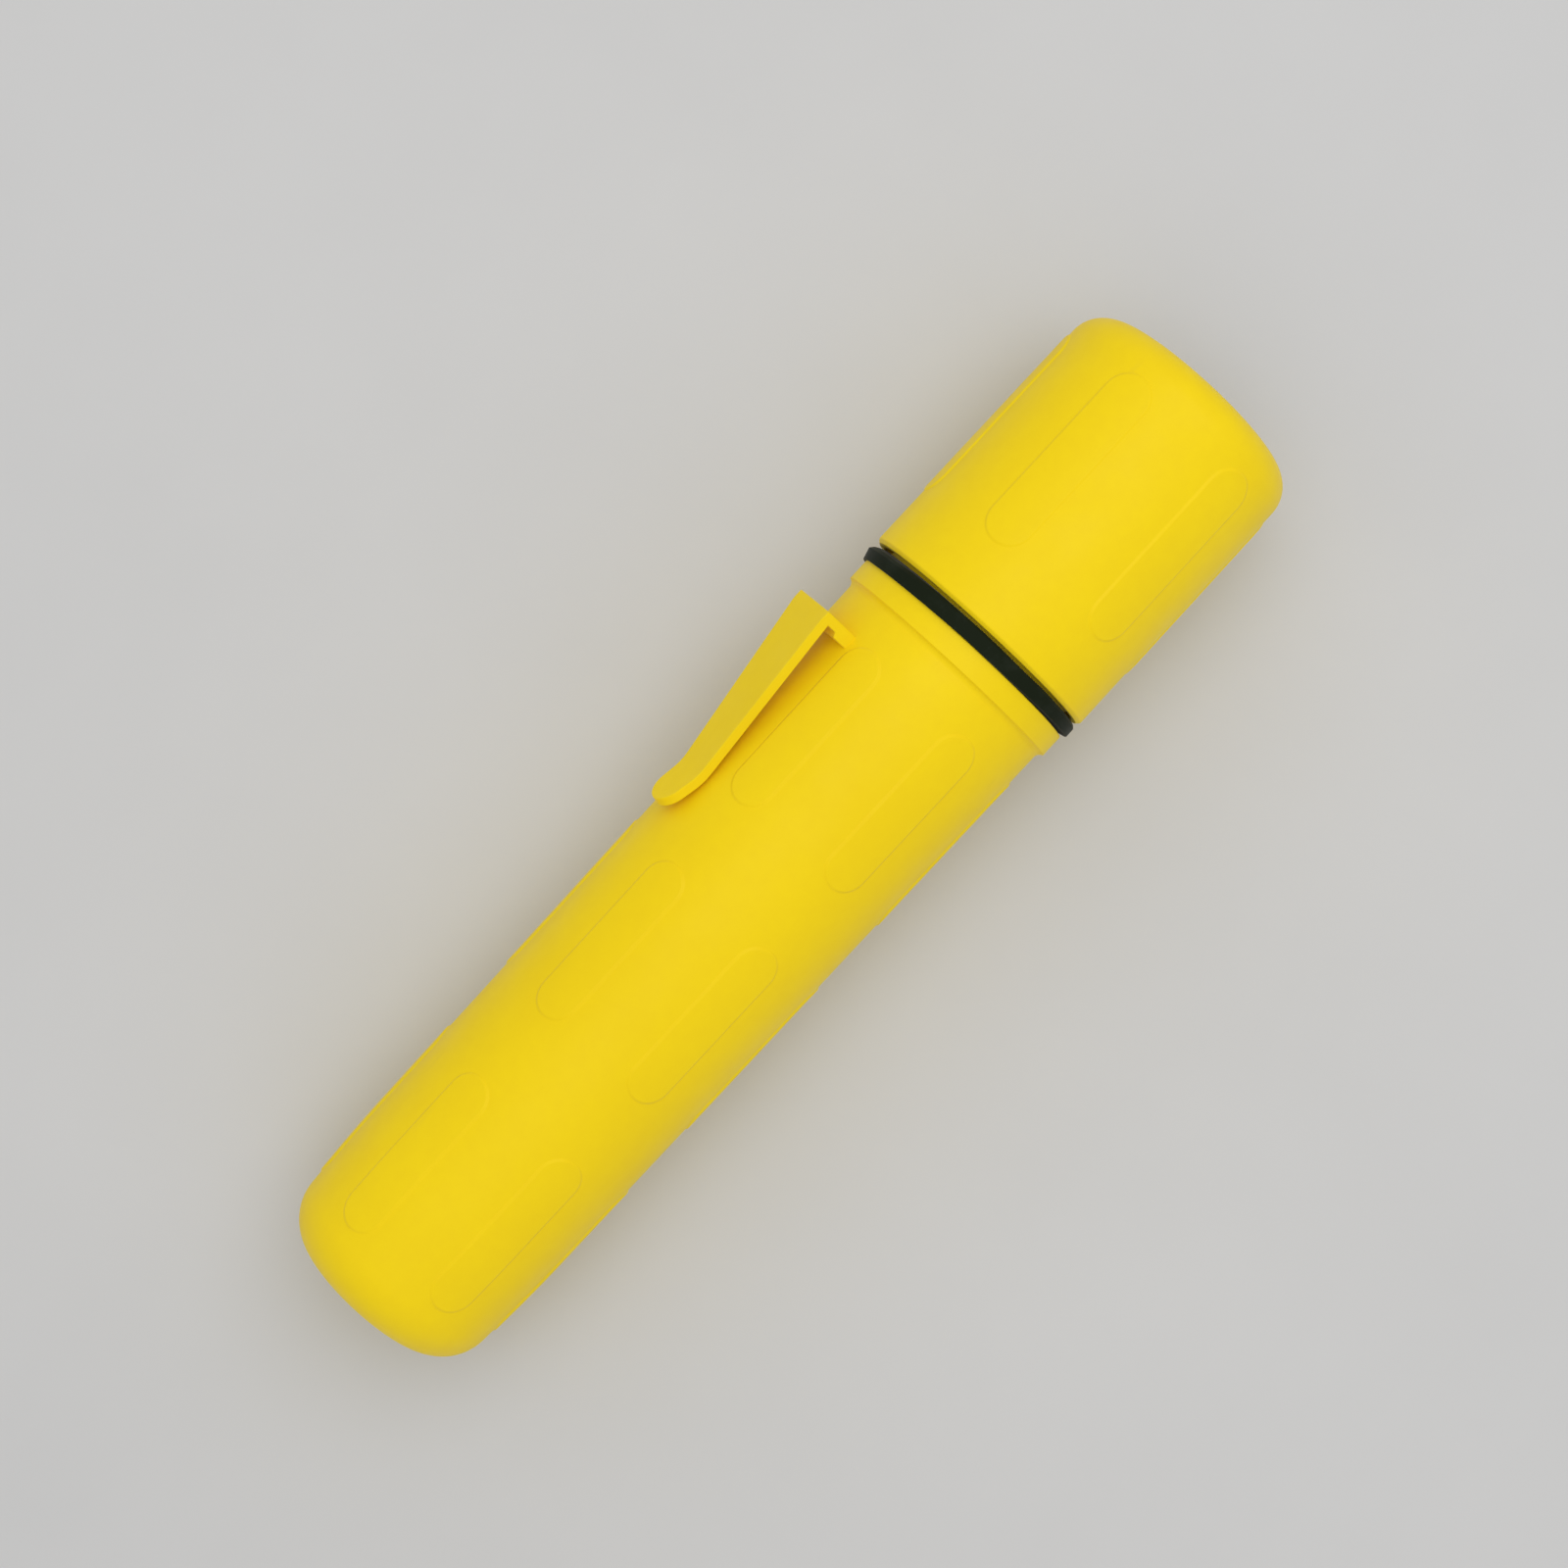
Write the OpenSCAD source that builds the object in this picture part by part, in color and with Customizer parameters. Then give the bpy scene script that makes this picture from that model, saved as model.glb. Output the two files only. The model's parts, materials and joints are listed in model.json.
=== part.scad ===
// Two-cell twist-head safety flashlight, lying on its side.
// The X axis is the axis of revolution: the tail face is at x = 0 and the lamp end points to +X.
// +Z is the side that faces up as the light lies, and angles round the axis run from +Z towards +Y.

/* [Cells] */
// Diameter of one cell over its jacket
cell_d = 33.2; // [27.6:0.1:40]
// Length of one cell, positive nub included
cell_len = 61.5; // [50:0.5:75]
// Number of cells in line
cell_count = 2; // [2:1:3]
// Room round a cell in the bore
cell_gap = 0.65; // [0.45:0.05:1.5]
// Thickness of the printed jacket on a cell
jacket_t = 0.25; // [0.15:0.05:0.4]
// Diameter of the positive nub
nub_d = 9.5; // [7:0.5:12]
// Height of the positive nub
nub_h = 1.6; // [1.2:0.1:2.5]
// Depth of the crimp near the top of a cell
crimp = 0.7; // [0.3:0.1:1]
// Width of the raised rim at both ends of a cell
cell_rim = 2; // [1:0.1:3]

/* [Body tube] */
// Wall of the tube at the tail end of the draft
tail_side_wall = 2.45; // [1.8:0.05:4]
// Wall of the tube where it meets the collar
neck_side_wall = 3.2; // [2.6:0.05:5]
// Thickness of the closed tail
tail_wall = 2.8; // [2:0.1:5]
// Corner radius of the tail
tail_corner = 8.5; // [4:0.5:10]
// Length of the crowned stretch next to the tail corner
tail_crown_len = 12; // [6:1:20]
// How far the crowned stretch draws in
tail_crown = 0.6; // [0.1:0.05:0.8]
// Height of the ridge round the tail spring
seat_h = 2; // [1:0.1:3]
// Wall of the ridge round the tail spring
seat_wall = 1.2; // [0.8:0.1:2]
// Height of the collar above the tube
collar_step = 0.9; // [0.5:0.1:2]
// Length of the collar
collar_len = 4.1; // [3:0.1:8]
// Length of the slope up to the collar
collar_slope = 1; // [0.5:0.1:2]
// Wall of the threaded neck under its thread
neck_wall = 1.75; // [1.3:0.05:2.5]
// Length of the neck in front of the collar
neck_len = 15.7; // [12:0.1:20]
// Distance from the nub of the front cell to the end of the neck
neck_reach = 19.6; // [16:0.1:26]

/* [Grip pads] */
// Pads round the tube and round the head
pad_columns = 6; // [4:1:6]
// Rows of pads along the tube
pad_rows = 3; // [1:1:3]
// Height of a pad above the surface
pad_h = 0.25; // [0.15:0.05:0.6]
// Width of a pad on the tube
pad_w = 7.7; // [5:0.1:9]
// Length of a pad on the tube
pad_len = 31.6; // [16:0.2:33]
// Distance from the tail to the first row of pads
pad_start = 10.4; // [9:0.2:16]
// Distance from the last row of pads to the collar
pad_to_collar = 6; // [2:0.2:12]
// Width of a pad on the head
head_pad_w = 8.2; // [5:0.1:9]
// Length of a pad on the head
head_pad_len = 34.3; // [16:0.2:36]
// Distance from the rim of the head to its pads
head_pad_start = 11.1; // [4:0.1:13]
// Angle of the first column of pads on the head, as the head rests
head_pad_turn = 22; // [0:1:59]

/* [Gasket] */
// Thickness of the flat gasket
gasket_t = 2.7; // [1.5:0.1:4]
// How far the gasket stands proud of the collar
gasket_proud = 0.75; // [0:0.05:1]
// Gap between gasket and head while the head is backed off
rim_gap = 0.6; // [0.55:0.05:1]

/* [Head] */
// Length of the head
head_len = 52.4; // [50:0.2:64]
// Wall of the head round the threads
head_wall = 2.05; // [1.6:0.05:4]
// How far the head draws in from rim to lamp end
head_draft = 0.3; // [0:0.05:0.8]
// Corner radius of the lamp end
head_corner = 5.7; // [3:0.1:6]
// Chamfer at the rim of the head
rim_chamfer = 0.6; // [0.2:0.1:1.2]
// Height of the thread
thread_h = 0.85; // [0.6:0.05:1.2]
// Clearance over the crest of the neck thread
thread_gap = 0.35; // [0.2:0.05:0.6]
// Length of the threaded bore
head_thread_len = 15.9; // [13:0.1:20]
// Step in from the threaded bore to the lamp bore
bore_step = 0.6; // [0.3:0.1:1]
// Radius of the window
window_r = 15; // [11:0.5:15.5]
// Thickness of the lip in front of the lens
lip_t = 3.6; // [2:0.1:5]
// Width of the bevel round the window
window_bevel = 1; // [0.4:0.1:1.3]

/* [Lamp end] */
// Thickness of the lens
lens_t = 2.4; // [1.5:0.1:3]
// Thickness of the rubber ring between lip and lens
lens_seal_t = 1; // [0.6:0.1:1.5]
// Thickness of the slip ring behind the lens
slip_t = 0.8; // [0.5:0.1:1.2]
// Width of the flat rim round the mouth of the reflector
mouth_rim = 2.3; // [1.5:0.1:3.5]
// Depth of the reflector from its mouth to its vertex
bowl_depth = 17.2; // [14:0.1:21]
// Wall of the reflector, along the axis
reflector_t = 1.6; // [1:0.1:2]
// Thickness of the flange of the reflector
flange_t = 1.2; // [0.8:0.1:2]
// Outer radius of the reflector neck
stem_r = 10; // [9.4:0.1:10.6]
// Wall of the reflector neck
stem_wall = 1; // [0.8:0.1:1.2]
// Thickness of the skirt of the lamp carrier
skirt_t = 1.2; // [0.8:0.1:1.4]
// Thickness of the floor of the lamp carrier
carrier_floor = 1.8; // [1:0.1:3]
// Ribs inside the lamp carrier
rib_count = 6; // [3:1:8]
// Thickness of a rib
rib_t = 1.2; // [0.8:0.1:1.6]
// How far a rib stands in from the skirt
rib_depth = 2.2; // [1:0.1:3]
// Length of the latch lip of the lamp carrier
latch_len = 2.3; // [1.5:0.1:3]
// Width of the split retaining ring
latch_ring_w = 1; // [0.8:0.1:1.5]

/* [Bulb] */
// Radius of the bulb flange
bulb_flange_r = 6.75; // [6:0.05:7.5]
// Thickness of the bulb flange
bulb_flange_t = 0.75; // [0.5:0.05:1]
// Radius of the bulb base
base_r = 4.65; // [4:0.05:4.8]
// Length of the bulb base below its flange
base_len = 14.4; // [11:0.1:16]
// Height of the filament above the flange
light_centre = 6.35; // [5.5:0.05:7]
// Radius of the glass globe
globe_r = 5.5; // [4.5:0.1:5.8]
// Radius of the glass below its globe
glass_neck_r = 4.2; // [3.4:0.1:4.6]
// Height of the glass above the flange
glass_h = 15.6; // [13:0.1:16.5]
// Wall of the glass
glass_t = 0.6; // [0.4:0.05:0.8]
// Height of the solder tip of the bulb
solder_h = 0.7; // [0.4:0.1:1.2]

/* [Contacts] */
// Thickness of the ground strip
strip_t = 0.3; // [0.2:0.05:0.5]
// Width of the ground strip
strip_w = 6; // [4:0.5:8]
// Angle of the ground strip round the bore
strip_turn = 180; // [150:1:210]
// Height of the tail spring
tail_spring_h = 14; // [10:0.5:18]
// Wire of the tail spring
tail_wire = 1.3; // [0.8:0.1:1.5]
// Distance from the foot coil of the tail spring to the edge of the flat tail wall
tail_spring_in = 2.3; // [1.8:0.1:3.5]
// Coil radius at the top of the tail spring
tail_spring_top_r = 6; // [4:0.5:7.5]
// Turns of the tail spring
tail_turns = 5; // [3:1:6]
// Wire of the contact spring
contact_wire = 0.5; // [0.3:0.05:0.6]
// Turns of the contact spring
contact_turns = 6; // [4:1:8]
// Radius of the plunger
plunger_r = 2.4; // [1.8:0.1:2.8]
// How far the plunger stands out of the bulb holder
plunger_out = 1.9; // [1.4:0.1:3]
// Thickness of the head of the plunger
plunger_head_t = 1.2; // [0.8:0.1:1.6]
// Gap at both contacts while the head is backed off
contact_gap = 0.6; // [0.55:0.05:1]
// Thickness of the ground ring
ring_t = 0.4; // [0.3:0.05:0.8]
// Outer radius of the rear part of the bulb holder
holder_r = 8; // [7.6:0.1:9]
// Thickness of the rear wall of the bulb holder
holder_floor = 2.5; // [2:0.1:4]
// Thickness of the clamping flange of the bulb holder
clamp_t = 1.5; // [1:0.1:2.5]
// How far the clamping flange reaches past the reflector neck
clamp_reach = 2.5; // [1.5:0.1:3.5]
// Grip notches round the clamping flange
notch_count = 8; // [4:1:12]
// Radius of a grip notch
notch_r = 1.1; // [0.6:0.1:1.5]

/* [Belt clip] */
// Angle of the clip round the tube
clip_turn = 60; // [50:1:70]
// Length of the clip
clip_len = 40.6; // [24:0.2:50]
// Thickness of the clip plate
clip_t = 1.7; // [1.2:0.1:2.5]
// Width of the clip at its root
clip_root_w = 12.3; // [8:0.1:12.6]
// Width of the clip near its tip
clip_tip_w = 7.4; // [5:0.1:8]
// Height of the root above the tube
clip_root_h = 5.8; // [4:0.1:7]
// Gap under the clip at its throat
clip_throat = 0.35; // [0.3:0.05:1.5]
// Length of the curled tip
clip_curl_len = 7.4; // [5:0.2:9]
// Rise of the curled tip
clip_curl_h = 1.3; // [0.6:0.1:2]
// Thickness of the foot of the root wall
clip_foot_t = 2.5; // [2:0.1:3.5]
// Height of the foot above the tube
clip_foot_h = 1.4; // [0.8:0.1:2]

/* [Hidden] */
$fn = 96;

YELLOW = [0.97, 0.83, 0.08];
RUBBER = [0.12, 0.14, 0.13];
BRASS = [0.80, 0.64, 0.30];
STEEL = [0.70, 0.71, 0.72];
ALUMINIUM = [0.86, 0.87, 0.88];
BLACK = [0.11, 0.11, 0.12];
JACKET = [0.16, 0.20, 0.34];

fit = 0.1;       // between pieces that touch or turn on each other
play = 0.3;      // between pieces that only lie near each other
skin = 0.02;     // between forms that lie on each other without a gap
sink = 1.2;      // how far a raised form starts below the surface that carries it
cut = 1;         // how far a cutting form runs past the surface that it cuts
bevel = 0.5;     // chamfer on small edges

// Radii, from the cell outwards
cell_r = cell_d / 2;
can_r = cell_r - jacket_t;
bore_r = cell_r + cell_gap;
strip_back_r = bore_r + strip_t;
tube_tail_r = bore_r + tail_side_wall;
tube_neck_r = bore_r + neck_side_wall;
collar_r = tube_neck_r + collar_step;
neck_r = bore_r + neck_wall;
head_bore_r = neck_r + thread_h + thread_gap;
head_r = head_bore_r + head_wall;
head_end_r = head_r - head_draft;
corner_r = tube_tail_r - tail_crown;
flat_r = corner_r - tail_corner;
inner_corner = tail_corner - tail_wall;
tail_spring_r = flat_r - tail_spring_in;
lamp_bore_r = head_bore_r - bore_step;
disc_r = lamp_bore_r - play;
mouth_r = disc_r - mouth_rim;
focal = mouth_r * mouth_r / (4 * bowl_depth);

// Stations along the axis, from the tail forwards
spring_x = tail_wall + strip_t;
cells_x = spring_x + tail_spring_h + play;
cells_end_x = cells_x + cell_count * cell_len;
neck_end_x = cells_end_x + neck_reach;
seat_x = neck_end_x - neck_len;
collar_x = seat_x - collar_len;
foot_x = collar_x - collar_slope;
crown_x = tail_corner + tail_crown_len;
rim_x = seat_x + gasket_t + rim_gap;
head_x = rim_x + head_len;
clip_root_x = foot_x - pad_to_collar;

// Stations inside the head, from the lamp end backwards
lip_x = head_x - lip_t;
lens_x = lip_x - lens_seal_t - lens_t;
slip_x = lens_x - slip_t;
flange_x = slip_x - fit - flange_t;
vertex_x = flange_x + flange_t - bowl_depth;
bulb_seat_x = vertex_x + focal - light_centre;
flange_back_x = bulb_seat_x - bulb_flange_t;
solder_x = flange_back_x - base_len - solder_h;
latch_x = flange_x - latch_len;
latch_ring_x = latch_x - fit - latch_ring_w;

// Stations of the contacts, from the front cell forwards
plunger_x = cells_end_x + contact_gap;
holder_x = plunger_x + plunger_out;
plunger_head_x = holder_x + holder_floor + fit;
plunger_end_x = plunger_head_x + plunger_head_t;
ring_x = neck_end_x + strip_t + contact_gap;
carrier_x = ring_x + ring_t;

// Radii of the lamp module, from its axis outwards
plunger_hole_r = plunger_r + 2 * fit;
holder_bore_r = base_r + 1.5 * fit;
plunger_head_r = holder_bore_r - play;
bulb_hole_r = bulb_flange_r - bevel;
stem_bore_r = stem_r - stem_wall;
carrier_hole_r = stem_r + fit;
clamp_r = stem_r + clamp_reach;
skirt_r = lamp_bore_r - 3 * play;
latch_ring_r = skirt_r + fit;
groove_r = lamp_bore_r + bevel;

// Radius of the drafted tube at station x
function tube_r(x) =
    tube_tail_r + (tube_neck_r - tube_tail_r) * (x - crown_x) / (foot_x - crown_x);

// Where the clip ends, is lowest and is highest
clip_x = clip_root_x - clip_len;
throat_x = clip_x + clip_curl_len;
clip_top_r = tube_r(clip_root_x) + clip_root_h;

// First station of each row of pads on the tube
pad_pitch = (clip_root_x - pad_start - pad_len) / max(1, pad_rows - 1);
pad_stations = [for (i = [0 : pad_rows - 1]) pad_start + i * pad_pitch];

// Points of an arc from angle a to angle b
function arc(x, y, r, a, b, steps) =
    [for (i = [0 : steps]) let (t = a + (b - a) * i / steps) [x + r * cos(t), y + r * sin(t)]];

// Turns a flat outline, drawn as [radius, x], round the axis of the light
module revolve() { rotate([0, 90, 0]) rotate_extrude() children(); }

// A ring of rectangular section
module ring(inner, outer, x, length) {
    revolve() translate([inner, x]) square([outer - inner, length]);
}

// Carries a form drawn at the top of the light round to an angle
module at_turn(angle) { rotate([-angle, 0, 0]) children(); }

// A bar that runs along the light, from height low to height high over the axis
module bar(x, length, width, low, high) {
    translate([x, -width / 2, low]) cube([length, width, high - low]);
}

// A flat form drawn as [x, height], given a width across the light
module across(width) { translate([0, width / 2, 0]) rotate([90, 0, 0]) linear_extrude(width) children(); }

// Outline of a pad as seen from above, starting at x
module pad_outline(x, length, width) {
    translate([x + width / 2, -width / 2]) square([length - width, width]);
    for (end = [x + width / 2, x + length - width / 2]) translate([end, 0]) circle(width / 2);
}

// Straight posts that stand out of a surface of radius r where its pads are
module pad_posts(stations, length, width, turn, r) {
    for (x = stations, i = [0 : pad_columns - 1]) at_turn(turn + i * 360 / pad_columns)
        translate([0, 0, r - 2 * sink]) linear_extrude(4 * sink) pad_outline(x, length, width);
}

// Half section of the tube from tail to collar foot, grown by extra
module tube_section(extra) {
    intersection() {
        translate([0, -extra]) square([collar_r, foot_x + extra]);
        union() {
            translate([flat_r, tail_corner]) circle(tail_corner + extra);
            polygon([[0, -extra], [flat_r, -extra], [flat_r, tail_corner],
                     [corner_r + extra, tail_corner], [tube_tail_r + extra, crown_x],
                     [tube_neck_r + extra, foot_x], [0, foot_x]]);
        }
    }
}

// Half section of the bore, with a round corner at the tail that keeps the wall even
module bore_section() {
    translate([flat_r, tail_corner]) circle(inner_corner);
    polygon([[0, tail_wall], [flat_r, tail_wall], [flat_r + inner_corner, tail_corner],
             [bore_r, crown_x], [bore_r, neck_end_x + cut], [0, neck_end_x + cut]]);
}

// Course of the wall side of the ground strip as [x, height], moved outwards by extra
function strip_course(extra) =
    [[tail_wall, flat_r + extra], [tail_corner, flat_r + inner_corner + extra],
     [crown_x, strip_back_r + extra]];

// Half section of the collar and of the neck in front of it
module neck_section() {
    polygon([[0, foot_x - cut], [tube_neck_r - bevel, foot_x - cut], [tube_neck_r, foot_x],
             [collar_r, collar_x], [collar_r, seat_x], [neck_r, seat_x],
             [neck_r, neck_end_x - bevel], [neck_r - bevel, neck_end_x], [0, neck_end_x]]);
}

// Ridge inside the tail that centres the tail spring, open where the strip passes
module spring_seat() {
    inner = tail_spring_r + tail_wire / 2 + play;
    difference() {
        ring(inner, inner + seat_wall, tail_wall - bevel, seat_h + bevel);
        at_turn(strip_turn) bar(tail_wall, seat_h + cut, strip_w + 2 * play, 0, bore_r);
    }
}

// Root wall of the clip, with its thicker foot
module clip_root() {
    base = tube_r(clip_root_x) - sink;
    foot = tube_r(clip_root_x) + clip_foot_h;
    intersection() {
        across(clip_root_w) polygon([[clip_root_x, base], [clip_root_x, clip_top_r],
            [clip_root_x - clip_t, clip_top_r], [clip_root_x - clip_t, foot + bevel],
            [clip_root_x - clip_foot_t, foot], [clip_root_x - clip_foot_t, base]]);
        linear_extrude(clip_top_r) clip_plan();
    }
}

// The clip seen from above: it narrows towards a round tip
module clip_plan() {
    tip_r = clip_tip_w / 2;
    translate([clip_x + tip_r, 0]) circle(tip_r);
    polygon([[clip_x + tip_r, -tip_r], [clip_root_x, -clip_root_w / 2],
             [clip_root_x, clip_root_w / 2], [clip_x + tip_r, tip_r]]);
}

module body_shell() {
    color(YELLOW) {
        difference() {
            union() {
                revolve() tube_section(0);
                revolve() neck_section();
                intersection() {
                    revolve() tube_section(pad_h);
                    pad_posts(pad_stations, pad_len, pad_w, 180 / pad_columns, tube_tail_r);
                }
                at_turn(clip_turn) clip_root();
            }
            revolve() bore_section();
            // Channel for the ground strip
            at_turn(strip_turn) across(strip_w + 2 * play) polygon(concat(
                [[tail_wall, 0]], strip_course(fit),
                [[neck_end_x + cut, strip_back_r + fit], [neck_end_x + cut, 0]]));
        }
        spring_seat();
    }
}

module gasket() { color(RUBBER) ring(neck_r + fit, collar_r + gasket_proud, seat_x, gasket_t); }

// Brass strip: an eye under the tail spring, a run along the bore and a fold over the neck
module ground_strip() {
    eye_r = tail_spring_r + tail_wire / 2;
    bend = strip_t / 2;
    inner = inner_corner - strip_t;
    color(BRASS) {
        ring(eye_r / 3, eye_r, tail_wall, strip_t);
        at_turn(strip_turn) across(strip_w) polygon(concat([[tail_wall, eye_r - cut]],
            strip_course(0),
            [[neck_end_x, strip_back_r], [neck_end_x, neck_r - bevel],
             [neck_end_x + strip_t, neck_r - bevel], [neck_end_x + strip_t, bore_r],
             [crown_x, bore_r], [tail_corner + bend, flat_r + inner],
             [tail_wall + strip_t, flat_r - bend], [tail_wall + strip_t, eye_r - cut]]));
    }
}

// Centre of the wire at the share t of a spring of the given height that starts at x.
// Both end turns are closed: over them the wire climbs by little more than its own thickness.
function coil_point(t, x, height, foot_r, top_r, wire, turns) =
    let (a = 360 * turns * t, r = foot_r + (top_r - foot_r) * t, end = 1 / turns,
         closed = wire + 2 * skin, free = height - wire - 2 * closed,
         rise = t < end ? closed * t / end
              : t > 1 - end ? height - wire - closed * (1 - t) / end
              : closed + free * (t - end) / (1 - 2 * end))
    [x + wire / 2 + rise, r * cos(a), r * sin(a)];

// Round wire swept along a coil, with a closed ring of points at each step
module coil(x, height, foot_r, top_r, wire, turns, steps, sides) {
    count = turns * steps;
    points = [for (i = [0 : count], j = [0 : sides - 1])
        let (a = 360 * i / steps, b = 360 * j / sides, out = [0, cos(a), sin(a)])
        coil_point(i / count, x, height, foot_r, top_r, wire, turns)
            + wire / 2 * (cos(b) * out + sin(b) * [1, 0, 0])];
    walls = [for (i = [0 : count - 1], j = [0 : sides - 1]) let (k = (j + 1) % sides)
        [i * sides + j, (i + 1) * sides + j, (i + 1) * sides + k, i * sides + k]];
    first = [for (j = [0 : sides - 1]) j];
    last = [for (j = [sides - 1 : -1 : 0]) count * sides + j];
    polyhedron(points, concat([first], walls, [last]));
}

module tail_spring() {
    color(STEEL) coil(spring_x, tail_spring_h, tail_spring_r, tail_spring_top_r, tail_wire,
                      tail_turns, 24, 8);
}

// Steel can of a cell: raised rims at both ends, crimped side wall, sunken cover and nub
module cell_can(x) {
    top = cell_len - nub_h;
    edge = nub_h / 2;
    revolve() translate([0, x]) {
        polygon([[0, 0], [can_r - cell_rim, 0], [can_r - cell_rim, bevel], [can_r - bevel, bevel],
                 [can_r, 2 * bevel], [can_r, top - 4 * crimp], [can_r - crimp, top - 3 * crimp],
                 [can_r, top - 2 * crimp], [can_r, top - bevel], [can_r - bevel, top],
                 [can_r - cell_rim, top], [can_r - cell_rim - bevel, top - bevel],
                 [0, top - bevel]]);
        intersection() {
            translate([0, top - cut]) square([nub_d / 2, nub_h + cut]);
            union() {
                translate([nub_d / 2 - edge, cell_len - edge]) circle(edge);
                translate([0, top - cut]) square([nub_d / 2, cut + edge]);
                translate([0, top - cut]) square([nub_d / 2 - edge, nub_h + cut]);
            }
        }
    }
}

// Jacket of a cell, rolled over the rims at both ends
module cell_jacket(x) {
    top = cell_len - nub_h;
    inner = can_r + skin;
    lip = can_r - 2 * bevel;
    revolve() translate([0, x]) polygon([[inner, 2 * bevel], [inner, top - bevel],
        [can_r - bevel + skin, top + skin], [lip, top + skin], [lip, top + jacket_t],
        [can_r - bevel, top + jacket_t], [cell_r, top - bevel], [cell_r, 2 * bevel],
        [can_r - bevel, bevel - jacket_t], [lip, bevel - jacket_t], [lip, bevel - skin],
        [can_r - bevel + skin, bevel - skin]]);
}

module rear_cell() { color(STEEL) cell_can(cells_x); }
module rear_cell_jacket() { color(JACKET) cell_jacket(cells_x); }
module front_cell() { color(STEEL) for (i = [1 : cell_count - 1]) cell_can(cells_x + i * cell_len); }
module front_cell_jacket() {
    color(JACKET) for (i = [1 : cell_count - 1]) cell_jacket(cells_x + i * cell_len);
}

// Sprung plate of the clip: straight down to its throat, then curled outwards to a round tip
module belt_clip() {
    low = tube_r(throat_x) + clip_throat;
    edge_r = clip_t / 2;
    end_x = clip_root_x - clip_t - skin;
    color(YELLOW) at_turn(clip_turn) intersection() {
        across(clip_root_w) polygon(concat(
            [[end_x, clip_top_r], [end_x, clip_top_r - clip_t], [throat_x, low]],
            arc(clip_x + edge_r, low + clip_curl_h + edge_r, edge_r, 260, 100, 8),
            [[throat_x, low + clip_t]]));
        linear_extrude(clip_top_r + cut) clip_plan();
    }
}

// Half section of the outside of the head, grown by extra
module head_section(extra) {
    end_r = head_end_r + extra;
    corner_x = head_x + extra - head_corner;
    translate([end_r - head_corner, corner_x]) circle(head_corner);
    polygon([[0, rim_x], [head_r + extra - rim_chamfer, rim_x],
             [head_r + extra, rim_x + rim_chamfer], [end_r, corner_x],
             [end_r - head_corner, corner_x], [end_r - head_corner, head_x + extra],
             [0, head_x + extra]]);
}

module head_shell() {
    thread_end = rim_x + head_thread_len;
    color(YELLOW) difference() {
        union() {
            revolve() head_section(0);
            intersection() {
                revolve() head_section(pad_h);
                pad_posts([rim_x + head_pad_start], head_pad_len, head_pad_w, head_pad_turn,
                          head_end_r);
            }
        }
        revolve() polygon([[0, rim_x - cut], [head_bore_r, rim_x - cut],
            [head_bore_r, thread_end], [lamp_bore_r, thread_end + bore_step],
            [lamp_bore_r, lip_x], [window_r, lip_x], [window_r, head_x - window_bevel],
            [window_r + window_bevel, head_x], [window_r + window_bevel, head_x + cut],
            [0, head_x + cut]]);
        // Groove for the retaining ring
        ring(0, groove_r, latch_ring_x - fit, latch_ring_w + 2 * fit);
    }
}

module lens() {
    color("lightcyan", 0.5) revolve() polygon([[0, lens_x], [disc_r - bevel, lens_x],
        [disc_r, lens_x + bevel], [disc_r, lens_x + lens_t - bevel],
        [disc_r - bevel, lens_x + lens_t], [0, lens_x + lens_t]]);
}

module lens_seal() {
    color(RUBBER) ring(window_r + window_bevel, disc_r, lens_x + lens_t, lens_seal_t);
}

module slip_ring() { color("white") ring(mouth_r + play, disc_r, slip_x, slip_t); }

// Split spring ring that keeps the lamp module in the head
module retaining_ring() {
    split = 14;
    color(STEEL) translate([latch_ring_x, 0, 0]) rotate([0, 90, 0])
        rotate_extrude(angle = 360 - split) translate([latch_ring_r, 0])
            square([groove_r - fit - latch_ring_r, latch_ring_w]);
}

// Place of the inner face of the reflector along the axis, at radius r
function bowl_x(r) = vertex_x + r * r / (4 * focal);

// Aluminium reflector: a paraboloid with a flange in front and a neck that holds the bulb
module reflector() {
    steps = 20;
    rim_r = disc_r - play;
    back_r = 2 * sqrt(focal * (flange_x + reflector_t - vertex_x));
    bowl = [for (i = [0 : steps]) let (r = bulb_hole_r + (mouth_r - bulb_hole_r) * i / steps)
        [r, bowl_x(r)]];
    back = [for (i = [0 : steps]) let (r = back_r + (stem_r - back_r) * i / steps)
        [r, bowl_x(r) - reflector_t]];
    color(ALUMINIUM) revolve() polygon(concat(bowl,
        [[rim_r, flange_x + flange_t], [rim_r, flange_x]], back,
        [[stem_r, ring_x], [stem_bore_r, ring_x], [stem_bore_r, bulb_seat_x],
         [bulb_hole_r, bulb_seat_x]]));
}

// Black cup that carries the reflector, with a latch lip at its mouth and ribs inside
module lamp_carrier() {
    skirt_bore_r = skirt_r - skirt_t;
    floor_x = carrier_x + carrier_floor;
    color(BLACK) {
        revolve() polygon([[carrier_hole_r, carrier_x], [skirt_r - bevel, carrier_x],
            [skirt_r, carrier_x + bevel], [skirt_r, latch_x], [disc_r, latch_x],
            [disc_r, flange_x], [skirt_bore_r, flange_x], [skirt_bore_r, floor_x],
            [carrier_hole_r, floor_x]]);
        for (i = [0 : rib_count - 1]) at_turn(i * 360 / rib_count) across(rib_t)
            polygon([[floor_x - bevel, skirt_bore_r + bevel], [floor_x - bevel, carrier_hole_r + cut],
                     [floor_x, carrier_hole_r + cut], [floor_x + rib_depth, skirt_bore_r - rib_depth],
                     [vertex_x, skirt_bore_r - rib_depth], [vertex_x + rib_depth, skirt_bore_r + bevel]]);
    }
}

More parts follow.
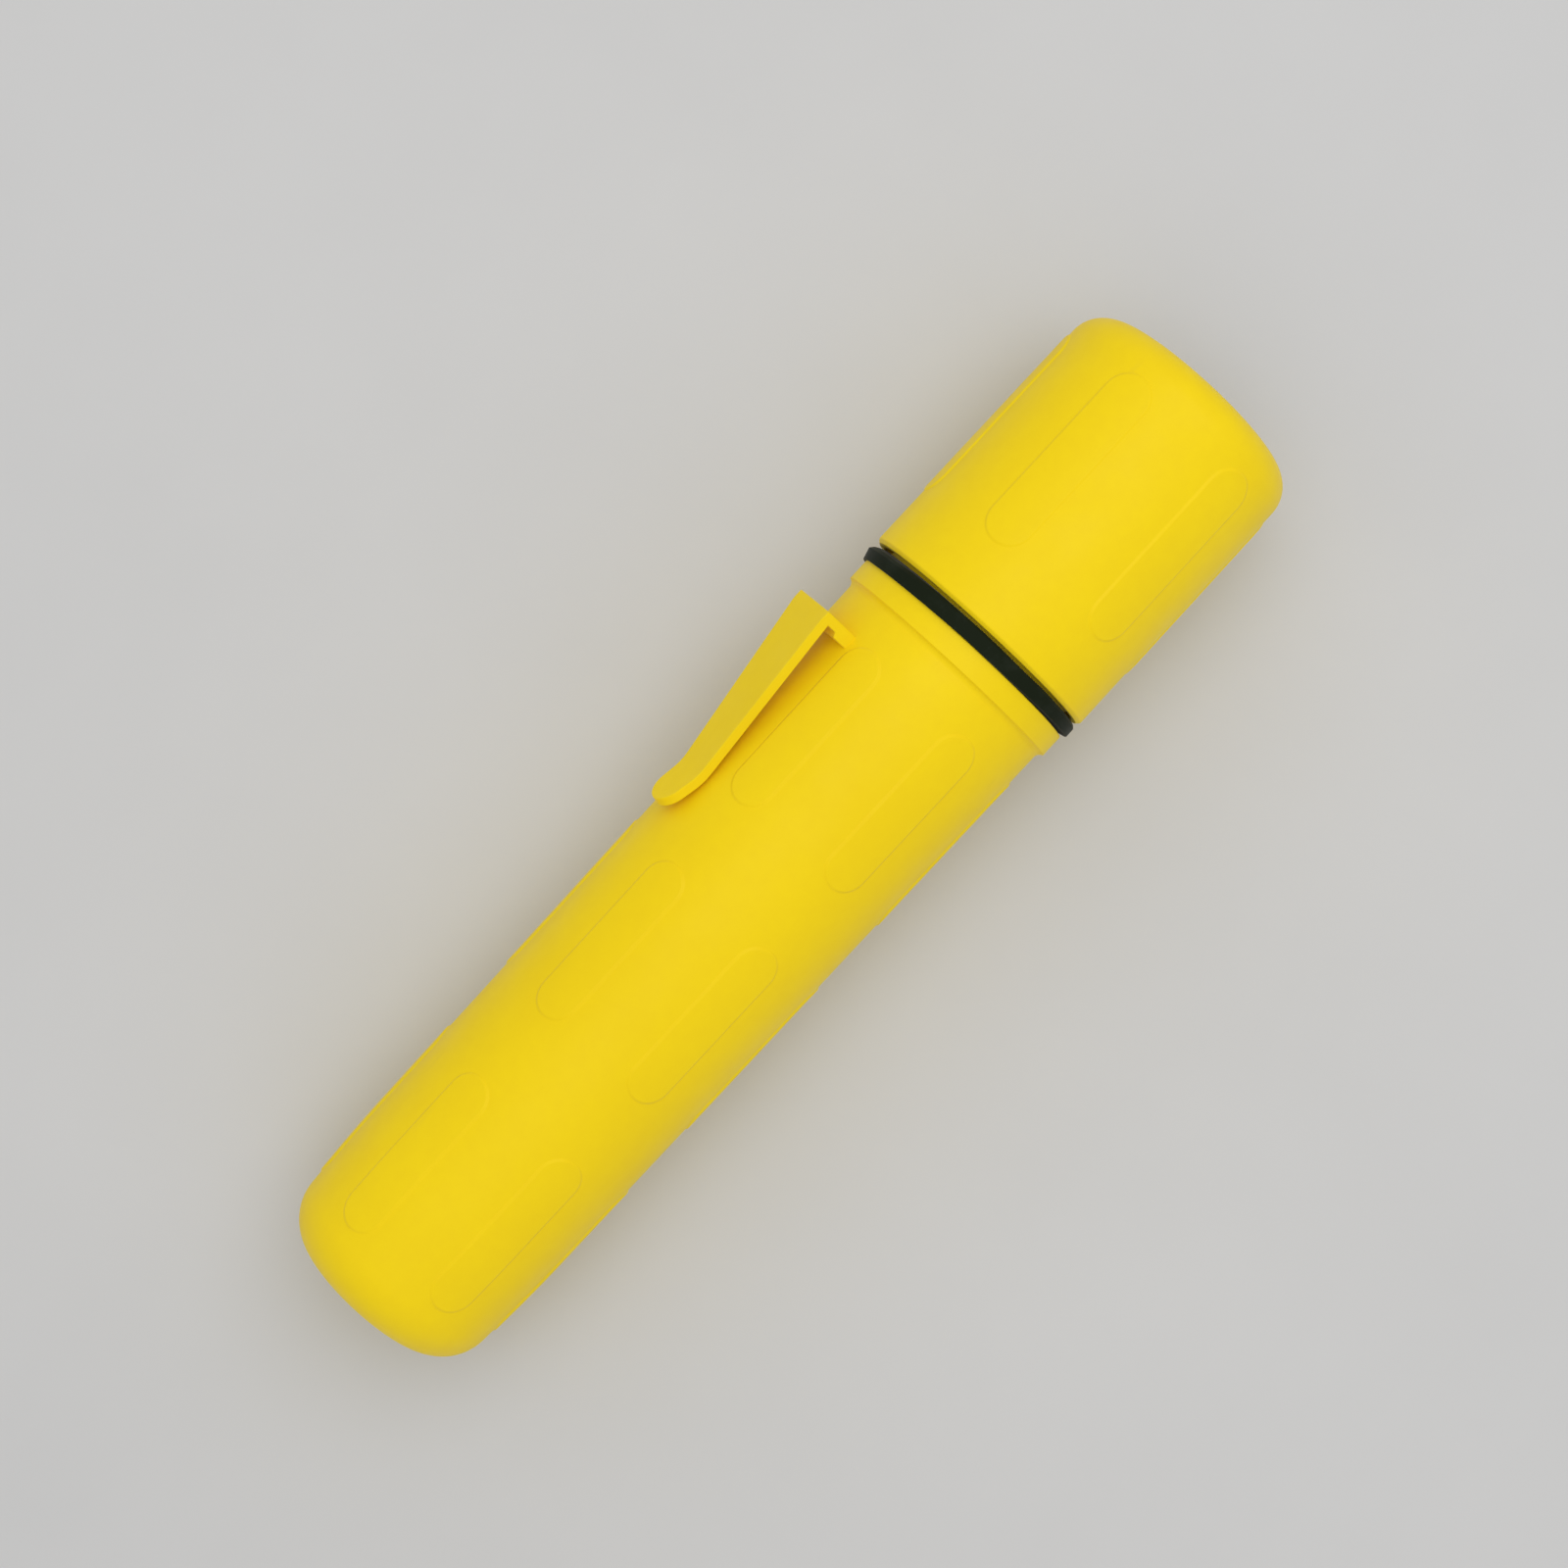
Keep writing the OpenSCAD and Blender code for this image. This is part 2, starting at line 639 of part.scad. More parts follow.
// Black holder that screws into the reflector neck and presses the bulb against its seat
module bulb_holder() {
    plug_r = stem_bore_r - fit;
    color(BLACK) difference() {
        revolve() polygon([[plunger_hole_r, holder_x], [holder_r - 2 * bevel, holder_x],
            [holder_r, holder_x + 2 * bevel], [holder_r, ring_x - 2 * clamp_t],
            [clamp_r - clamp_t, ring_x - clamp_t], [clamp_r, ring_x - clamp_t],
            [clamp_r, ring_x], [plug_r, ring_x], [plug_r, flange_back_x],
            [holder_bore_r, flange_back_x], [holder_bore_r, holder_x + holder_floor],
            [plunger_hole_r, holder_x + holder_floor]]);
        for (i = [0 : notch_count - 1]) at_turn(i * 360 / notch_count)
            translate([ring_x - clamp_t - cut, 0, clamp_r]) rotate([0, 90, 0])
                cylinder(r = notch_r, h = clamp_t + 2 * cut, $fn = 24);
    }
}

// Brass base of the bulb, with its flange and solder tip
module bulb_base() {
    color(BRASS) revolve() polygon([[0, solder_x], [base_r / 3, solder_x],
        [base_r / 2, solder_x + solder_h], [base_r - 2 * bevel, solder_x + solder_h],
        [base_r, solder_x + solder_h + 2 * bevel], [base_r, flange_back_x],
        [bulb_flange_r, flange_back_x], [bulb_flange_r, bulb_seat_x], [0, bulb_seat_x]]);
}

// Glass of the bulb: a globe on a short neck, hollow and open at the base
module bulb_glass() {
    straight = glass_h - globe_r;
    color("azure", 0.4) revolve() translate([0, bulb_seat_x]) intersection() {
        difference() {
            union() {
                translate([0, straight]) circle(globe_r);
                square([glass_neck_r, straight]);
            }
            translate([0, straight]) circle(globe_r - glass_t);
            translate([0, -cut]) square([glass_neck_r - glass_t, cut + straight]);
        }
        square([globe_r, glass_h]);
    }
}

// Brass washer that takes the current from the strip to the reflector neck
module ground_ring() { color(BRASS) ring(stem_r + fit / 2, skirt_r - play, ring_x, ring_t); }

module contact_spring() {
    color(STEEL) coil(plunger_end_x, solder_x - plunger_end_x, plunger_r + play, plunger_r - play,
                      contact_wire, contact_turns, 20, 6);
}

// Brass plunger that reaches the nub of the front cell
module contact_plunger() {
    color(BRASS) revolve() polygon([[0, plunger_x], [plunger_r - 2 * bevel, plunger_x],
        [plunger_r, plunger_x + 2 * bevel], [plunger_r, plunger_head_x],
        [plunger_head_r, plunger_head_x], [plunger_head_r, plunger_end_x], [0, plunger_end_x]]);
}

body_shell();
gasket();
ground_strip();
tail_spring();
rear_cell();
rear_cell_jacket();
front_cell();
front_cell_jacket();
belt_clip();
head_shell();
lens();
lens_seal();
slip_ring();
retaining_ring();
reflector();
lamp_carrier();
bulb_holder();
bulb_base();
bulb_glass();
ground_ring();
contact_spring();
contact_plunger();
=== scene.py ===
import json
import math

import bmesh
import bpy
import numpy as np
from mathutils import Matrix, Vector


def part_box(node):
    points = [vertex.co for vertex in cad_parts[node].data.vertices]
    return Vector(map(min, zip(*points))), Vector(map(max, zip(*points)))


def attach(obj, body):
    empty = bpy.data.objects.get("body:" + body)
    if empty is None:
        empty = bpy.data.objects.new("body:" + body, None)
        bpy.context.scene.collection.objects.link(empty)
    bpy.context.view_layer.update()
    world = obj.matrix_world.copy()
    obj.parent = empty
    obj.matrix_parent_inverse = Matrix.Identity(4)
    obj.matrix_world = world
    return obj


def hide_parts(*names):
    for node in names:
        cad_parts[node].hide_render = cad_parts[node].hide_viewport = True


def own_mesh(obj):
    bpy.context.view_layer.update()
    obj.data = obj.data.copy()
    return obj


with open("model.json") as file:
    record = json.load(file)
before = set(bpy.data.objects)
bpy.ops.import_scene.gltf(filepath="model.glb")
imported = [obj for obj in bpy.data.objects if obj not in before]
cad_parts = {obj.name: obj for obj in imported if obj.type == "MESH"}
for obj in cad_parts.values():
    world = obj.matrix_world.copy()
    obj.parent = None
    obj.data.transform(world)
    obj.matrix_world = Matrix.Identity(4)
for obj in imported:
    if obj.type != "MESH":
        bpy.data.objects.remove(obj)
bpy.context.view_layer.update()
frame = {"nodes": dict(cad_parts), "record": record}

MM = 0.001

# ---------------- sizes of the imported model


def span(node):
    """First station, last station and height over the axis of a CAD node, in millimetres."""
    low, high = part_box(node)
    return low.x / MM, high.x / MM, high.z / MM


SEAT_X, GASKET_X, GASKET_R = span("gasket")
_, NECK_X, _ = span("body_shell")
RIM_X, HEAD_X, _ = span("head_shell")
LENS_X, LENS_FRONT_X, DISC_R = span("lens")
_, LIP_X, _ = span("lens_seal")
REFLECTOR_X, MOUTH_X, REFLECTOR_R = span("reflector")
GLASS_X, GLASS_FRONT_X, GLOBE_R = span("bulb_glass")
BASE_X, _, BASE_FLANGE_R = span("bulb_base")
TAIL_SPRING_X, TAIL_SPRING_FRONT_X, TAIL_SPRING_R = span("tail_spring")
PLUNGER_FRONT_X, SOLDER_X, CONTACT_SPRING_R = span("contact_spring")
CLIP_X, CLIP_ROOT_X, _ = span("belt_clip")

JOINTS = {joint["name"]: joint for joint in frame["record"]["behaviour"]["joints"]}
HINGE = JOINTS["clip_flex"]["pos_m"]

# ---------------- sizes of the visible pieces

TINY = 1e-6
COLUMNS = 120            # points round both shells

# Roundings of edges. DEFAULT_EDGE is for a corner that gives no rounding, DEFAULT_STEPS for its steps
SHARP, CRISP, SOFT, FULL = 0.05, 0.1, 0.2, 0.3
DEFAULT_EDGE, DEFAULT_STEPS = 0.12, 3

# Body tube: its tail with the dished mark of the moulding gate, its crowned end and its collar
GATE_DEPTH, GATE_FLOOR_R, GATE_R = 0.25, 0.9, 1.4
TAIL_CORNER = 8.5
CROWN_X, TUBE_TAIL_R = 20.5, 19.7
CROWN_SLOPE, CROWN_BLEND = 0.0437, 5.0
FOOT_X, TUBE_NECK_R = 139.85, 20.45      # a cove rises from the tube to the collar's crisp edge
COVE, COLLAR_EDGE = 1.3, 0.14
COLLAR_X, COLLAR_R = 140.25, 21.35
NECK_R, NECK_RELIEF, NECK_CHAMFER = 19.0, 0.4, 0.45

# Inside of the body tube
BORE_R, BORE_BLEND, TAIL_WALL = 17.25, 20, 2.8
INNER_X, INNER_R, INNER_CORNER = 8.5, 16.3, 5
INNER_FLOOR_R, INNER_FILLET = 10.9, 1.5
SPRING_SEAT = (9.25, 10.45, 4.8)       # inner radius, outer radius and front of the ridge in the tail

# Channel of the ground strip: columns on each side of its middle, half its angle and the angle of its
# wall; where it starts, its least and greatest depth, and the stations between which it deepens
STRIP_COLUMNS, STRIP_HALF, STRIP_WALL = 3, math.radians(10.9), 0.002
STRIP_START_X, STRIP_DEPTHS, STRIP_RISE = 5, (0.1, 0.4), (6, 20)

# Pads: height and width of their edges, then for each shell the stations where its rows of pads start,
# their length, their width and the angle of the first column, and the borders of the rows' cells
PADS_ROUND = 6
PAD_H, PAD_EDGE, PAD_STEP = 0.25, 0.62, 2 * math.pi / PADS_ROUND
BODY_PADS = ((10.4, 56.0, 101.6), 31.6, 7.7, math.radians(30))
HEAD_PADS = ((158.7,), 34.3, 8.2, math.radians(22))
BODY_CELLS = (9.0, 49.0, 94.6, 134.9)
HEAD_CELLS = (152.0, 193.9)

# Threads: from, to, crest, flank and height of each; the neck's crest crosses +Z at THREAD_X
PITCH, THREAD_X = 3.0, 150.0
NECK_THREAD = (147.5, 159.3, 1.0, 0.43, 0.85)
HEAD_THREAD = (148.6, 163.3, 0.6, 0.5, 0.85)
RUNOUT, THREAD_ROW = 1.4, 0.14

# Head: its outside, its bores, its window and the groove of the retaining ring (from, to, radius)
HEAD_R, HEAD_END_R, HEAD_CORNER = 22.25, 21.95, 5.7
RIM_BEVEL, RIM_EDGE, MOUTH_CHAMFER = 0.6, 0.5, 0.35
HEAD_BORE_R, LAMP_BORE_R, THREAD_END_X = 20.2, 19.6, 163.5
WINDOW_R, WINDOW_BEVEL, WINDOW_EDGE = 15.0, 1.0, 0.35
GROOVE = (187.4, 188.6, 20.1)

# Clip: its plate from its root to its curled tip, and the root wall with its foot
CLIP_TURN = math.radians(60)
CLIP_T, ROOT_FRONT_X = 1.7, 133.2
CLIP_TOP_R = math.hypot(HINGE[1], HINGE[2]) / MM
CLIP_TIP_R, CLIP_ROOT_HALF = 3.7, 6.15
CLIP_TIP_X = CLIP_X + CLIP_TIP_R
CLIP_SPREAD = (CLIP_ROOT_HALF - CLIP_TIP_R) / (ROOT_FRONT_X - CLIP_TIP_X)
CURL_LEN, CURL_RISE, CURL_BLEND = 7.4, 1.3, 1.6
THROAT_X, THROAT_LOW = CLIP_X + CURL_LEN, 20.553
CLIP_BURIED, SKIN = 132.4, 0.02      # end of the plate in the wall; how far the wall stays inside it
FOOT_T, FOOT_TOP_R, FOOT_RISE, ROOT_SUNK_R = 2.5, 22.3, 0.5, 18.9

# Gasket: its edge, how far it leans on the near and far side of its low point, and how far its outer
# edge folds back and bulges
GASKET_EDGE, GASKET_LOW = 0.15, math.radians(70)
LEAN_NEAR, LEAN_FAR = 0.45, 0.6
FOLD_W, FOLD, BULGE = 1.2, 0.8, 0.55

# Lens and reflector
LENS_EDGE = 0.4
MOUTH_R, BOWL_DEPTH, FLANGE_T, MOUTH_EDGE = 17.0, 17.2, 1.2, 0.15
STEM_R, STEM_BORE_R, BULB_HOLE_R, REFLECTOR_WALL = 10.0, 9.0, 6.25, 1.6
FLANGE_X, VERTEX_X = MOUTH_X - FLANGE_T, MOUTH_X - BOWL_DEPTH
FOCAL = MOUTH_R ** 2 / (4 * BOWL_DEPTH)
FOCUS_X = VERTEX_X + FOCAL

# Bulb: base, glass, bead, the two wires and the coiled filament, which is at the reflector's focus
LIGHT_CENTRE = 6.35
BULB_SEAT_X = FOCUS_X - LIGHT_CENTRE
BASE_R, BASE_BEVEL, SOLDER_H = 4.65, 1, 0.7
BASE_FLANGE_T, FLANGE_EDGE = 0.75, 0.25
GLASS_NECK_R, GLASS_WALL, GLASS_EDGE, GLASS_BEND = 4.2, 0.6, 0.15, 2.5
BEAD_R, BEAD_TOP_R, BEAD_H, BEAD_GAP = 2.6, 0.9, 1.5, 0.05
LEAD_R, LEAD_FOOT, LEAD_TOP = 0.16, 1.1, 1.9
FILAMENT_R, FILAMENT_WIRE_R, FILAMENT_HALF = 0.26, 0.05, 1.8
FILAMENT_SAG, FILAMENT_TURNS = 0.35, 11

# Springs: radius at the small end, wire and turns; closed end turns lie a little over one wire apart
TAIL_SPRING_TOP_R, TAIL_WIRE, TAIL_TURNS = 6.0, 1.3, 5
CONTACT_SPRING_TOP_R, CONTACT_WIRE, CONTACT_TURNS = 2.1, 0.5, 6
CLOSED_PITCH = 1.03


def smooth(t):
    """0 below 0, 1 above 1 and an even curve between them."""
    t = np.clip(t, 0, 1)
    return t * t * (3 - 2 * t)


# ---------------- meshes


class Skin:
    """One closed mesh in the making: points, their normals and faces, in millimetres."""

    def __init__(self):
        self.points, self.normals, self.faces, self.count = [], [], [], 0

    def add(self, points, normals):
        """Takes points and normals of shape (..., 3) and gives the points' numbers, of shape (...)."""
        points, normals = np.broadcast_arrays(points, normals)
        self.points.append(points.reshape(-1, 3))
        self.normals.append(normals.reshape(-1, 3))
        numbers = np.arange(self.count, self.count + points.size // 3).reshape(points.shape[:-1])
        self.count += numbers.size
        return numbers

    def cover(self, grid, round_trip=False):
        """Puts faces on a grid of point numbers; a round trip joins its last column to its first."""
        grid = np.asarray(grid)
        if round_trip:
            grid = np.concatenate([grid, grid[:, :1]], axis=1)
        corners = (grid[:-1, :-1], grid[:-1, 1:], grid[1:, 1:], grid[1:, :-1])
        self.faces += np.stack(corners, axis=-1).reshape(-1, 4).tolist()

    def face(self, numbers):
        self.faces.append([int(number) for number in numbers])


def placed(name, data):
    """A new object in the scene."""
    made = bpy.data.objects.new(name, data)
    bpy.context.scene.collection.objects.link(made)
    return made


def make(name, skin, material, body, replaces=()):
    """Turns a skin into a piece that rides on a body."""
    mesh = bpy.data.meshes.new(name)
    points = np.concatenate(skin.points) * MM
    faces = [list(dict.fromkeys(face)) for face in skin.faces]
    faces = [face for face in faces if len(face) > 2]
    mesh.from_pydata(points.tolist(), [], faces)
    work = bmesh.new()
    work.from_mesh(mesh)
    bmesh.ops.recalc_face_normals(work, faces=work.faces)
    work.to_mesh(mesh)
    work.free()
    mesh.polygons.foreach_set("use_smooth", [True] * len(mesh.polygons))
    normals = np.concatenate(skin.normals)
    mesh.normals_split_custom_set_from_vertices(normals.tolist())
    mesh.materials.append(material)
    piece = placed(name, mesh)
    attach(piece, body)
    if replaces:
        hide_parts(*replaces)
    return piece


def place(x, radius, angle):
    """Points at station x, at a radius and angle round the light."""
    x, radius, angle = np.broadcast_arrays(x, radius, angle)
    return np.stack([x, radius * np.sin(angle), radius * np.cos(angle)], axis=-1)


def wrapped(x, angle, radius_at, sign=1):
    """Points and normals of a surface round the light; sign is -1 where it faces the axis."""
    x, angle = np.broadcast_arrays(np.asarray(x, float), np.asarray(angle, float))
    step = 0.004
    radius = radius_at(x, angle)
    along = (radius_at(x + step, angle) - radius_at(x - step, angle)) / (2 * step)
    turn = step / radius
    round_it = (radius_at(x, angle + turn) - radius_at(x, angle - turn)) / (2 * step)
    out = np.stack([-along, np.sin(angle) - round_it * np.cos(angle),
                    np.cos(angle) + round_it * np.sin(angle)], axis=-1)
    out *= sign / np.linalg.norm(out, axis=-1, keepdims=True)
    return place(x, radius, angle), out


def left_of(way):
    return np.array([-way[1], way[0]])


def outline(corners, closed):
    """Outline through corners (station, radius, rounding, steps), with a normal on its left at each point.
    The first and last corners of an open outline stay where they are. A corner may leave out its steps, or
    its rounding too."""
    spots = [np.array(c[:2], float) for c in corners]
    count = len(spots)
    ends = () if closed else (0, count - 1)
    lengths = [np.linalg.norm(spots[(i + 1) % count] - spots[i]) for i in range(count)]
    ways = [(spots[(i + 1) % count] - spots[i]) / lengths[i] for i in range(count)]
    turns = [math.atan2(np.cross(ways[i - 1], ways[i]), ways[i - 1] @ ways[i]) for i in range(count)]
    roundings = [0 if i in ends else (*corners[i], DEFAULT_EDGE)[2] for i in range(count)]
    wanted = [roundings[i] * math.tan(abs(turns[i]) / 2) if roundings[i] else 0 for i in range(count)]
    # Two roundings that meet on an edge share most of its length
    room = [min(1, 0.98 * lengths[i] / max(wanted[i] + wanted[(i + 1) % count], TINY))
            for i in range(count)]
    points, normals = [], []
    for i, corner in enumerate(corners):
        here, first, turn = spots[i], left_of(ways[i - 1]), turns[i]
        if i in ends:
            points.append(here)
            normals.append(left_of(ways[0]) if i == 0 else first)
            continue
        reach = wanted[i] * min(room[i - 1], room[i])
        if reach < TINY or abs(turn) < 1e-3:
            middle = first + left_of(ways[i])
            points.append(here)
            normals.append(middle / np.linalg.norm(middle))
            continue
        steps = corner[3] if len(corner) > 3 else DEFAULT_STEPS
        size = math.copysign(reach / math.tan(abs(turn) / 2), turn)
        centre = here - ways[i - 1] * reach + size * first
        for k in range(steps + 1):
            c, s = math.cos(turn * k / steps), math.sin(turn * k / steps)
            normal = np.array([c * first[0] - s * first[1], s * first[0] + c * first[1]])
            points.append(centre - size * normal)
            normals.append(normal)
    return np.array(points), np.array(normals)


def rings(skin, points, normals, angles, shape=None):
    """Turns an outline round the axis. A point on the axis becomes one point. shape(x, radius, angle)
    may move the points."""
    rows, count = [], len(angles)
    for (x, radius), (nx, nr) in zip(points, normals):
        if radius < TINY:
            number = skin.add(np.array([[x, 0, 0]]), np.array([[math.copysign(1, nx), 0, 0]]))
            rows.append(np.repeat(number, count))
            continue
        xs, radii, ring = np.full(count, x), np.full(count, radius), np.array(angles)
        if shape:
            xs, radii, ring = shape(xs, radii, ring)
        normal = np.stack([np.full(count, nx), nr * np.sin(ring), nr * np.cos(ring)], axis=-1)
        rows.append(skin.add(place(xs, radii, ring), normal))
    return rows


def even_angles(count, start=0.0):
    return start + np.arange(count) * 2 * math.pi / count


def turned(name, corners, material, body, replaces, columns=96, shape=None):
    """A round piece from its outline, which is closed unless its first corner is on the axis."""
    skin = Skin()
    closed = corners[0][1] > 0
    rows = rings(skin, *outline(corners, closed), even_angles(columns), shape)
    if closed:
        rows.append(rows[0])
    skin.cover(rows, True)
    make(name, skin, material, body, replaces)


def bent(course, count):
    """A smooth line of count points near the corners of a course (a quadratic B-spline)."""
    spots = np.concatenate([course[:1], course, course[-1:]])
    where = np.linspace(0, len(spots) - 2, count)
    at = np.minimum(where.astype(int), len(spots) - 3)
    rest = (where - at)[:, None]
    before, here, after = spots[at], spots[at + 1], spots[at + 2]
    return 0.5 * ((1 - rest) ** 2 * before + (1 + 2 * rest - 2 * rest ** 2) * here + rest ** 2 * after)


def swept(skin, course, radius, sides):
    """Round wire along a course of points, with rounded ends."""
    way = np.gradient(course, axis=0)
    way /= np.linalg.norm(way, axis=1, keepdims=True)
    ring, across = even_angles(sides)[:, None], []
    one = np.cross(way[0], (0.3, 0.5, 0.8))      # any direction that no wire starts in
    for w in way:
        one = one - (one @ w) * w
        one /= np.linalg.norm(one)
        across.append(one * np.cos(ring) + np.cross(w, one) * np.sin(ring))
    caps = []
    for end, sign in ((0, -1), (-1, 1)):
        cap = []
        for tilt in np.radians((88, 60, 30)):
            normal = across[end] * math.cos(tilt) + sign * way[end] * math.sin(tilt)
            cap.append(skin.add(course[end] + radius * normal, normal))
        caps.append(cap)
    body = [skin.add(spot + radius * normal, normal) for spot, normal in zip(course, across)]
    rows = caps[0] + body + caps[1][::-1]
    skin.cover(rows, True)
    skin.face(rows[0])
    skin.face(rows[-1])


def coil(name, material, body, replaces, x, height, foot_r, top_r, wire, turns):
    """Coil spring from station x on: its radius changes evenly, and both end turns are closed."""
    t = np.linspace(0, 1, turns * 36 + 1)
    closed, end = wire * CLOSED_PITCH, 1 / turns
    rise = np.interp(t, (0, end, 1 - end, 1), (0, closed, height - wire - closed, height - wire))
    turn, r = 2 * math.pi * turns * t, foot_r + (top_r - foot_r) * t
    skin = Skin()
    course = np.stack([x + wire / 2 + rise, r * np.cos(turn), r * np.sin(turn)], axis=-1)
    swept(skin, course, wire / 2, 12)
    return make(name, skin, material, body, replaces)


# ---------------- shells with grip pads

# Faces along the curved and straight stretches of a pad's side, and across its end. Loops of points lie
# at shares of the way from a cell's border to its pad, and of the width of the pad's edge
ALONG_CURVE, ALONG_STRAIGHT, ACROSS = 8, 24, COLUMNS // PADS_ROUND
ALONG = 2 * ALONG_CURVE + ALONG_STRAIGHT
TOWARDS_PAD = (0.2, 0.4, 0.58, 0.73, 0.85, 0.94)
EDGE_LOOPS = np.linspace(-0.5, 0.5, 7)


def tube_r(x):
    """Radius of the tube under its pads, with its draft and its crowned tail end."""
    x = np.asarray(x, float)
    draft = TUBE_TAIL_R + (TUBE_NECK_R - TUBE_TAIL_R) * (x - CROWN_X) / (FOOT_X - CROWN_X)
    past = CROWN_X + CROWN_BLEND - x
    bend = np.where(past < 2 * CROWN_BLEND, past ** 2 / (4 * CROWN_BLEND), past - CROWN_BLEND)
    return draft - CROWN_SLOPE * np.where(past > 0, bend, 0)


def head_r(x):
    return HEAD_R + (HEAD_END_R - HEAD_R) * (np.asarray(x, float) - RIM_X) / (HEAD_X - RIM_X)


def with_pads(base, pads):
    """Radius of a shell at a station and angle, pads included."""
    firsts, length, width, turn = pads

    def radius_at(x, angle):
        radius = base(x)
        side = (angle - turn + PAD_STEP / 2) % PAD_STEP - PAD_STEP / 2
        lift = 0
        for first in firsts:
            past = np.maximum(first + width / 2 - x, x - (first + length - width / 2))
            away = np.hypot(np.maximum(past, 0), radius * np.sin(side))
            lift = lift + smooth((width / 2 - away) / PAD_EDGE + 0.5)
        return radius + PAD_H * lift

    return radius_at


def walk(rear_end, side, front_end, other_side):
    """Values on the way round a cell: along its rear end, one side, its front end and the other side."""
    ends = [np.broadcast_to(values, ACROSS + 1) for values in (rear_end, front_end)]
    sides = [np.broadcast_to(values, ALONG + 1)[1:-1] for values in (side, other_side)]
    return np.concatenate([ends[0], sides[0], ends[1][::-1], sides[1][::-1]])


def pad_loops(x_from, x_to, first, pads, base):
    """Loops round one pad, from its cell's border to its top, as stations and angles from its middle.
    Also gives the stations of points on the cell's sides, and their shares of the cell's length."""
    _, length, width, _ = pads
    half = width / 2
    rear, front = first + half, first + length - half

    # Places on the pad's middle line, and the ways out from it in degrees
    end_way = np.linspace(-45, 45, ACROSS + 1)
    side_way = np.pad(np.full(ALONG_STRAIGHT + 1, 90.0), ALONG_CURVE, "linear_ramp", end_values=(45, 135))
    side_x = np.pad(np.linspace(rear, front, ALONG_STRAIGHT + 1), ALONG_CURVE, "edge")
    share = side_x - half * np.cos(np.radians(side_way))
    share = (share - share[0]) / (share[-1] - share[0])
    cell_x = x_from + share * (x_to - x_from)

    # The same walk round the pad and round its cell
    middle = walk(rear, side_x, front, side_x)
    way = np.radians(walk(end_way, side_way, 180 - end_way, -side_way))
    fan = np.linspace(-PAD_STEP / 2, PAD_STEP / 2, ACROSS + 1)
    border_x = walk(x_from, cell_x, x_to, cell_x)
    border_a = walk(fan, PAD_STEP / 2, fan, -PAD_STEP / 2)

    def pad_loop(offset):
        """The walk round the pad, that far outside its outline."""
        reach = half + offset
        x = middle - reach * np.cos(way)
        return x, np.arcsin(reach * np.sin(way) / base(x))

    foot_x, foot_a = pad_loop(PAD_EDGE / 2)
    loops = [(border_x + t * (foot_x - border_x), border_a + t * (foot_a - border_a)) for t in TOWARDS_PAD]
    loops += [pad_loop(-PAD_EDGE * t) for t in EDGE_LOOPS]
    return loops, cell_x, share


def spanned(loop, share):
    """Places inside a loop, spanned between its four sides (a Coons patch), and which of the loop's points
    lie on each side."""
    corner = ACROSS + ALONG
    near = np.arange(0, ACROSS + 1)
    one = np.arange(ACROSS, corner + 1)
    far = np.arange(corner, corner + ACROSS + 1)[::-1]
    other = np.append(np.arange(corner + ACROSS, len(loop)), 0)[::-1]
    u, w = share[:, None, None], np.linspace(0, 1, ACROSS + 1)[None, :, None]
    places = ((1 - w) * loop[other][:, None] + w * loop[one][:, None]
              + (1 - u) * loop[near][None] + u * loop[far][None]
              - (1 - u) * ((1 - w) * loop[near[0]] + w * loop[near[-1]])
              - u * ((1 - w) * loop[far[0]] + w * loop[far[-1]]))
    return places[1:-1, 1:-1], (near, far, other, one)


def pad_row(skin, start, x_from, x_to, first, pads, base):
    """One row of pads, each with a grid that follows its outline. start is the ring of points at x_from,
    and the ring at x_to is given back."""
    turn = pads[-1]
    radius_at = with_pads(base, pads)
    ring = even_angles(COLUMNS, turn - PAD_STEP / 2)
    end = skin.add(*wrapped(x_to, ring, radius_at))
    loops, cell_x, share = pad_loops(x_from, x_to, first, pads, base)
    top_places, sides = spanned(np.stack(loops[-1], axis=-1), share)
    top_x, top_a = top_places[..., 0], top_places[..., 1]
    lines = [skin.add(*wrapped(cell_x[1:-1], ring[c * ACROSS], radius_at)) for c in range(PADS_ROUND)]
    for c in range(PADS_ROUND):
        centre = turn + c * PAD_STEP
        around = np.arange(c * ACROSS, (c + 1) * ACROSS + 1) % COLUMNS
        border = [start[around], lines[(c + 1) % PADS_ROUND], end[around][::-1], lines[c][::-1]]
        rows = [np.concatenate(border)] + [skin.add(*wrapped(x, centre + a, radius_at)) for x, a in loops]
        skin.cover(rows, True)
        top = np.empty((ALONG + 1, ACROSS + 1), int)
        top[0], top[-1], top[:, 0], top[:, -1] = [rows[-1][side] for side in sides]
        top[1:-1, 1:-1] = skin.add(*wrapped(top_x, centre + top_a, radius_at))
        skin.cover(top)
    return end


def thread(x, angle, sizes, phase):
    """Height of a right-hand thread at a station and angle; it runs out at both ends."""
    start, stop, crest, flank, height = sizes
    turns = (x - THREAD_X) / PITCH + angle / (2 * math.pi) + phase
    away = np.abs(turns - np.round(turns)) * PITCH
    ends = smooth((x - start) / RUNOUT) * smooth((stop - x) / RUNOUT)
    return height * smooth((crest / 2 + flank - away) / flank) * ends


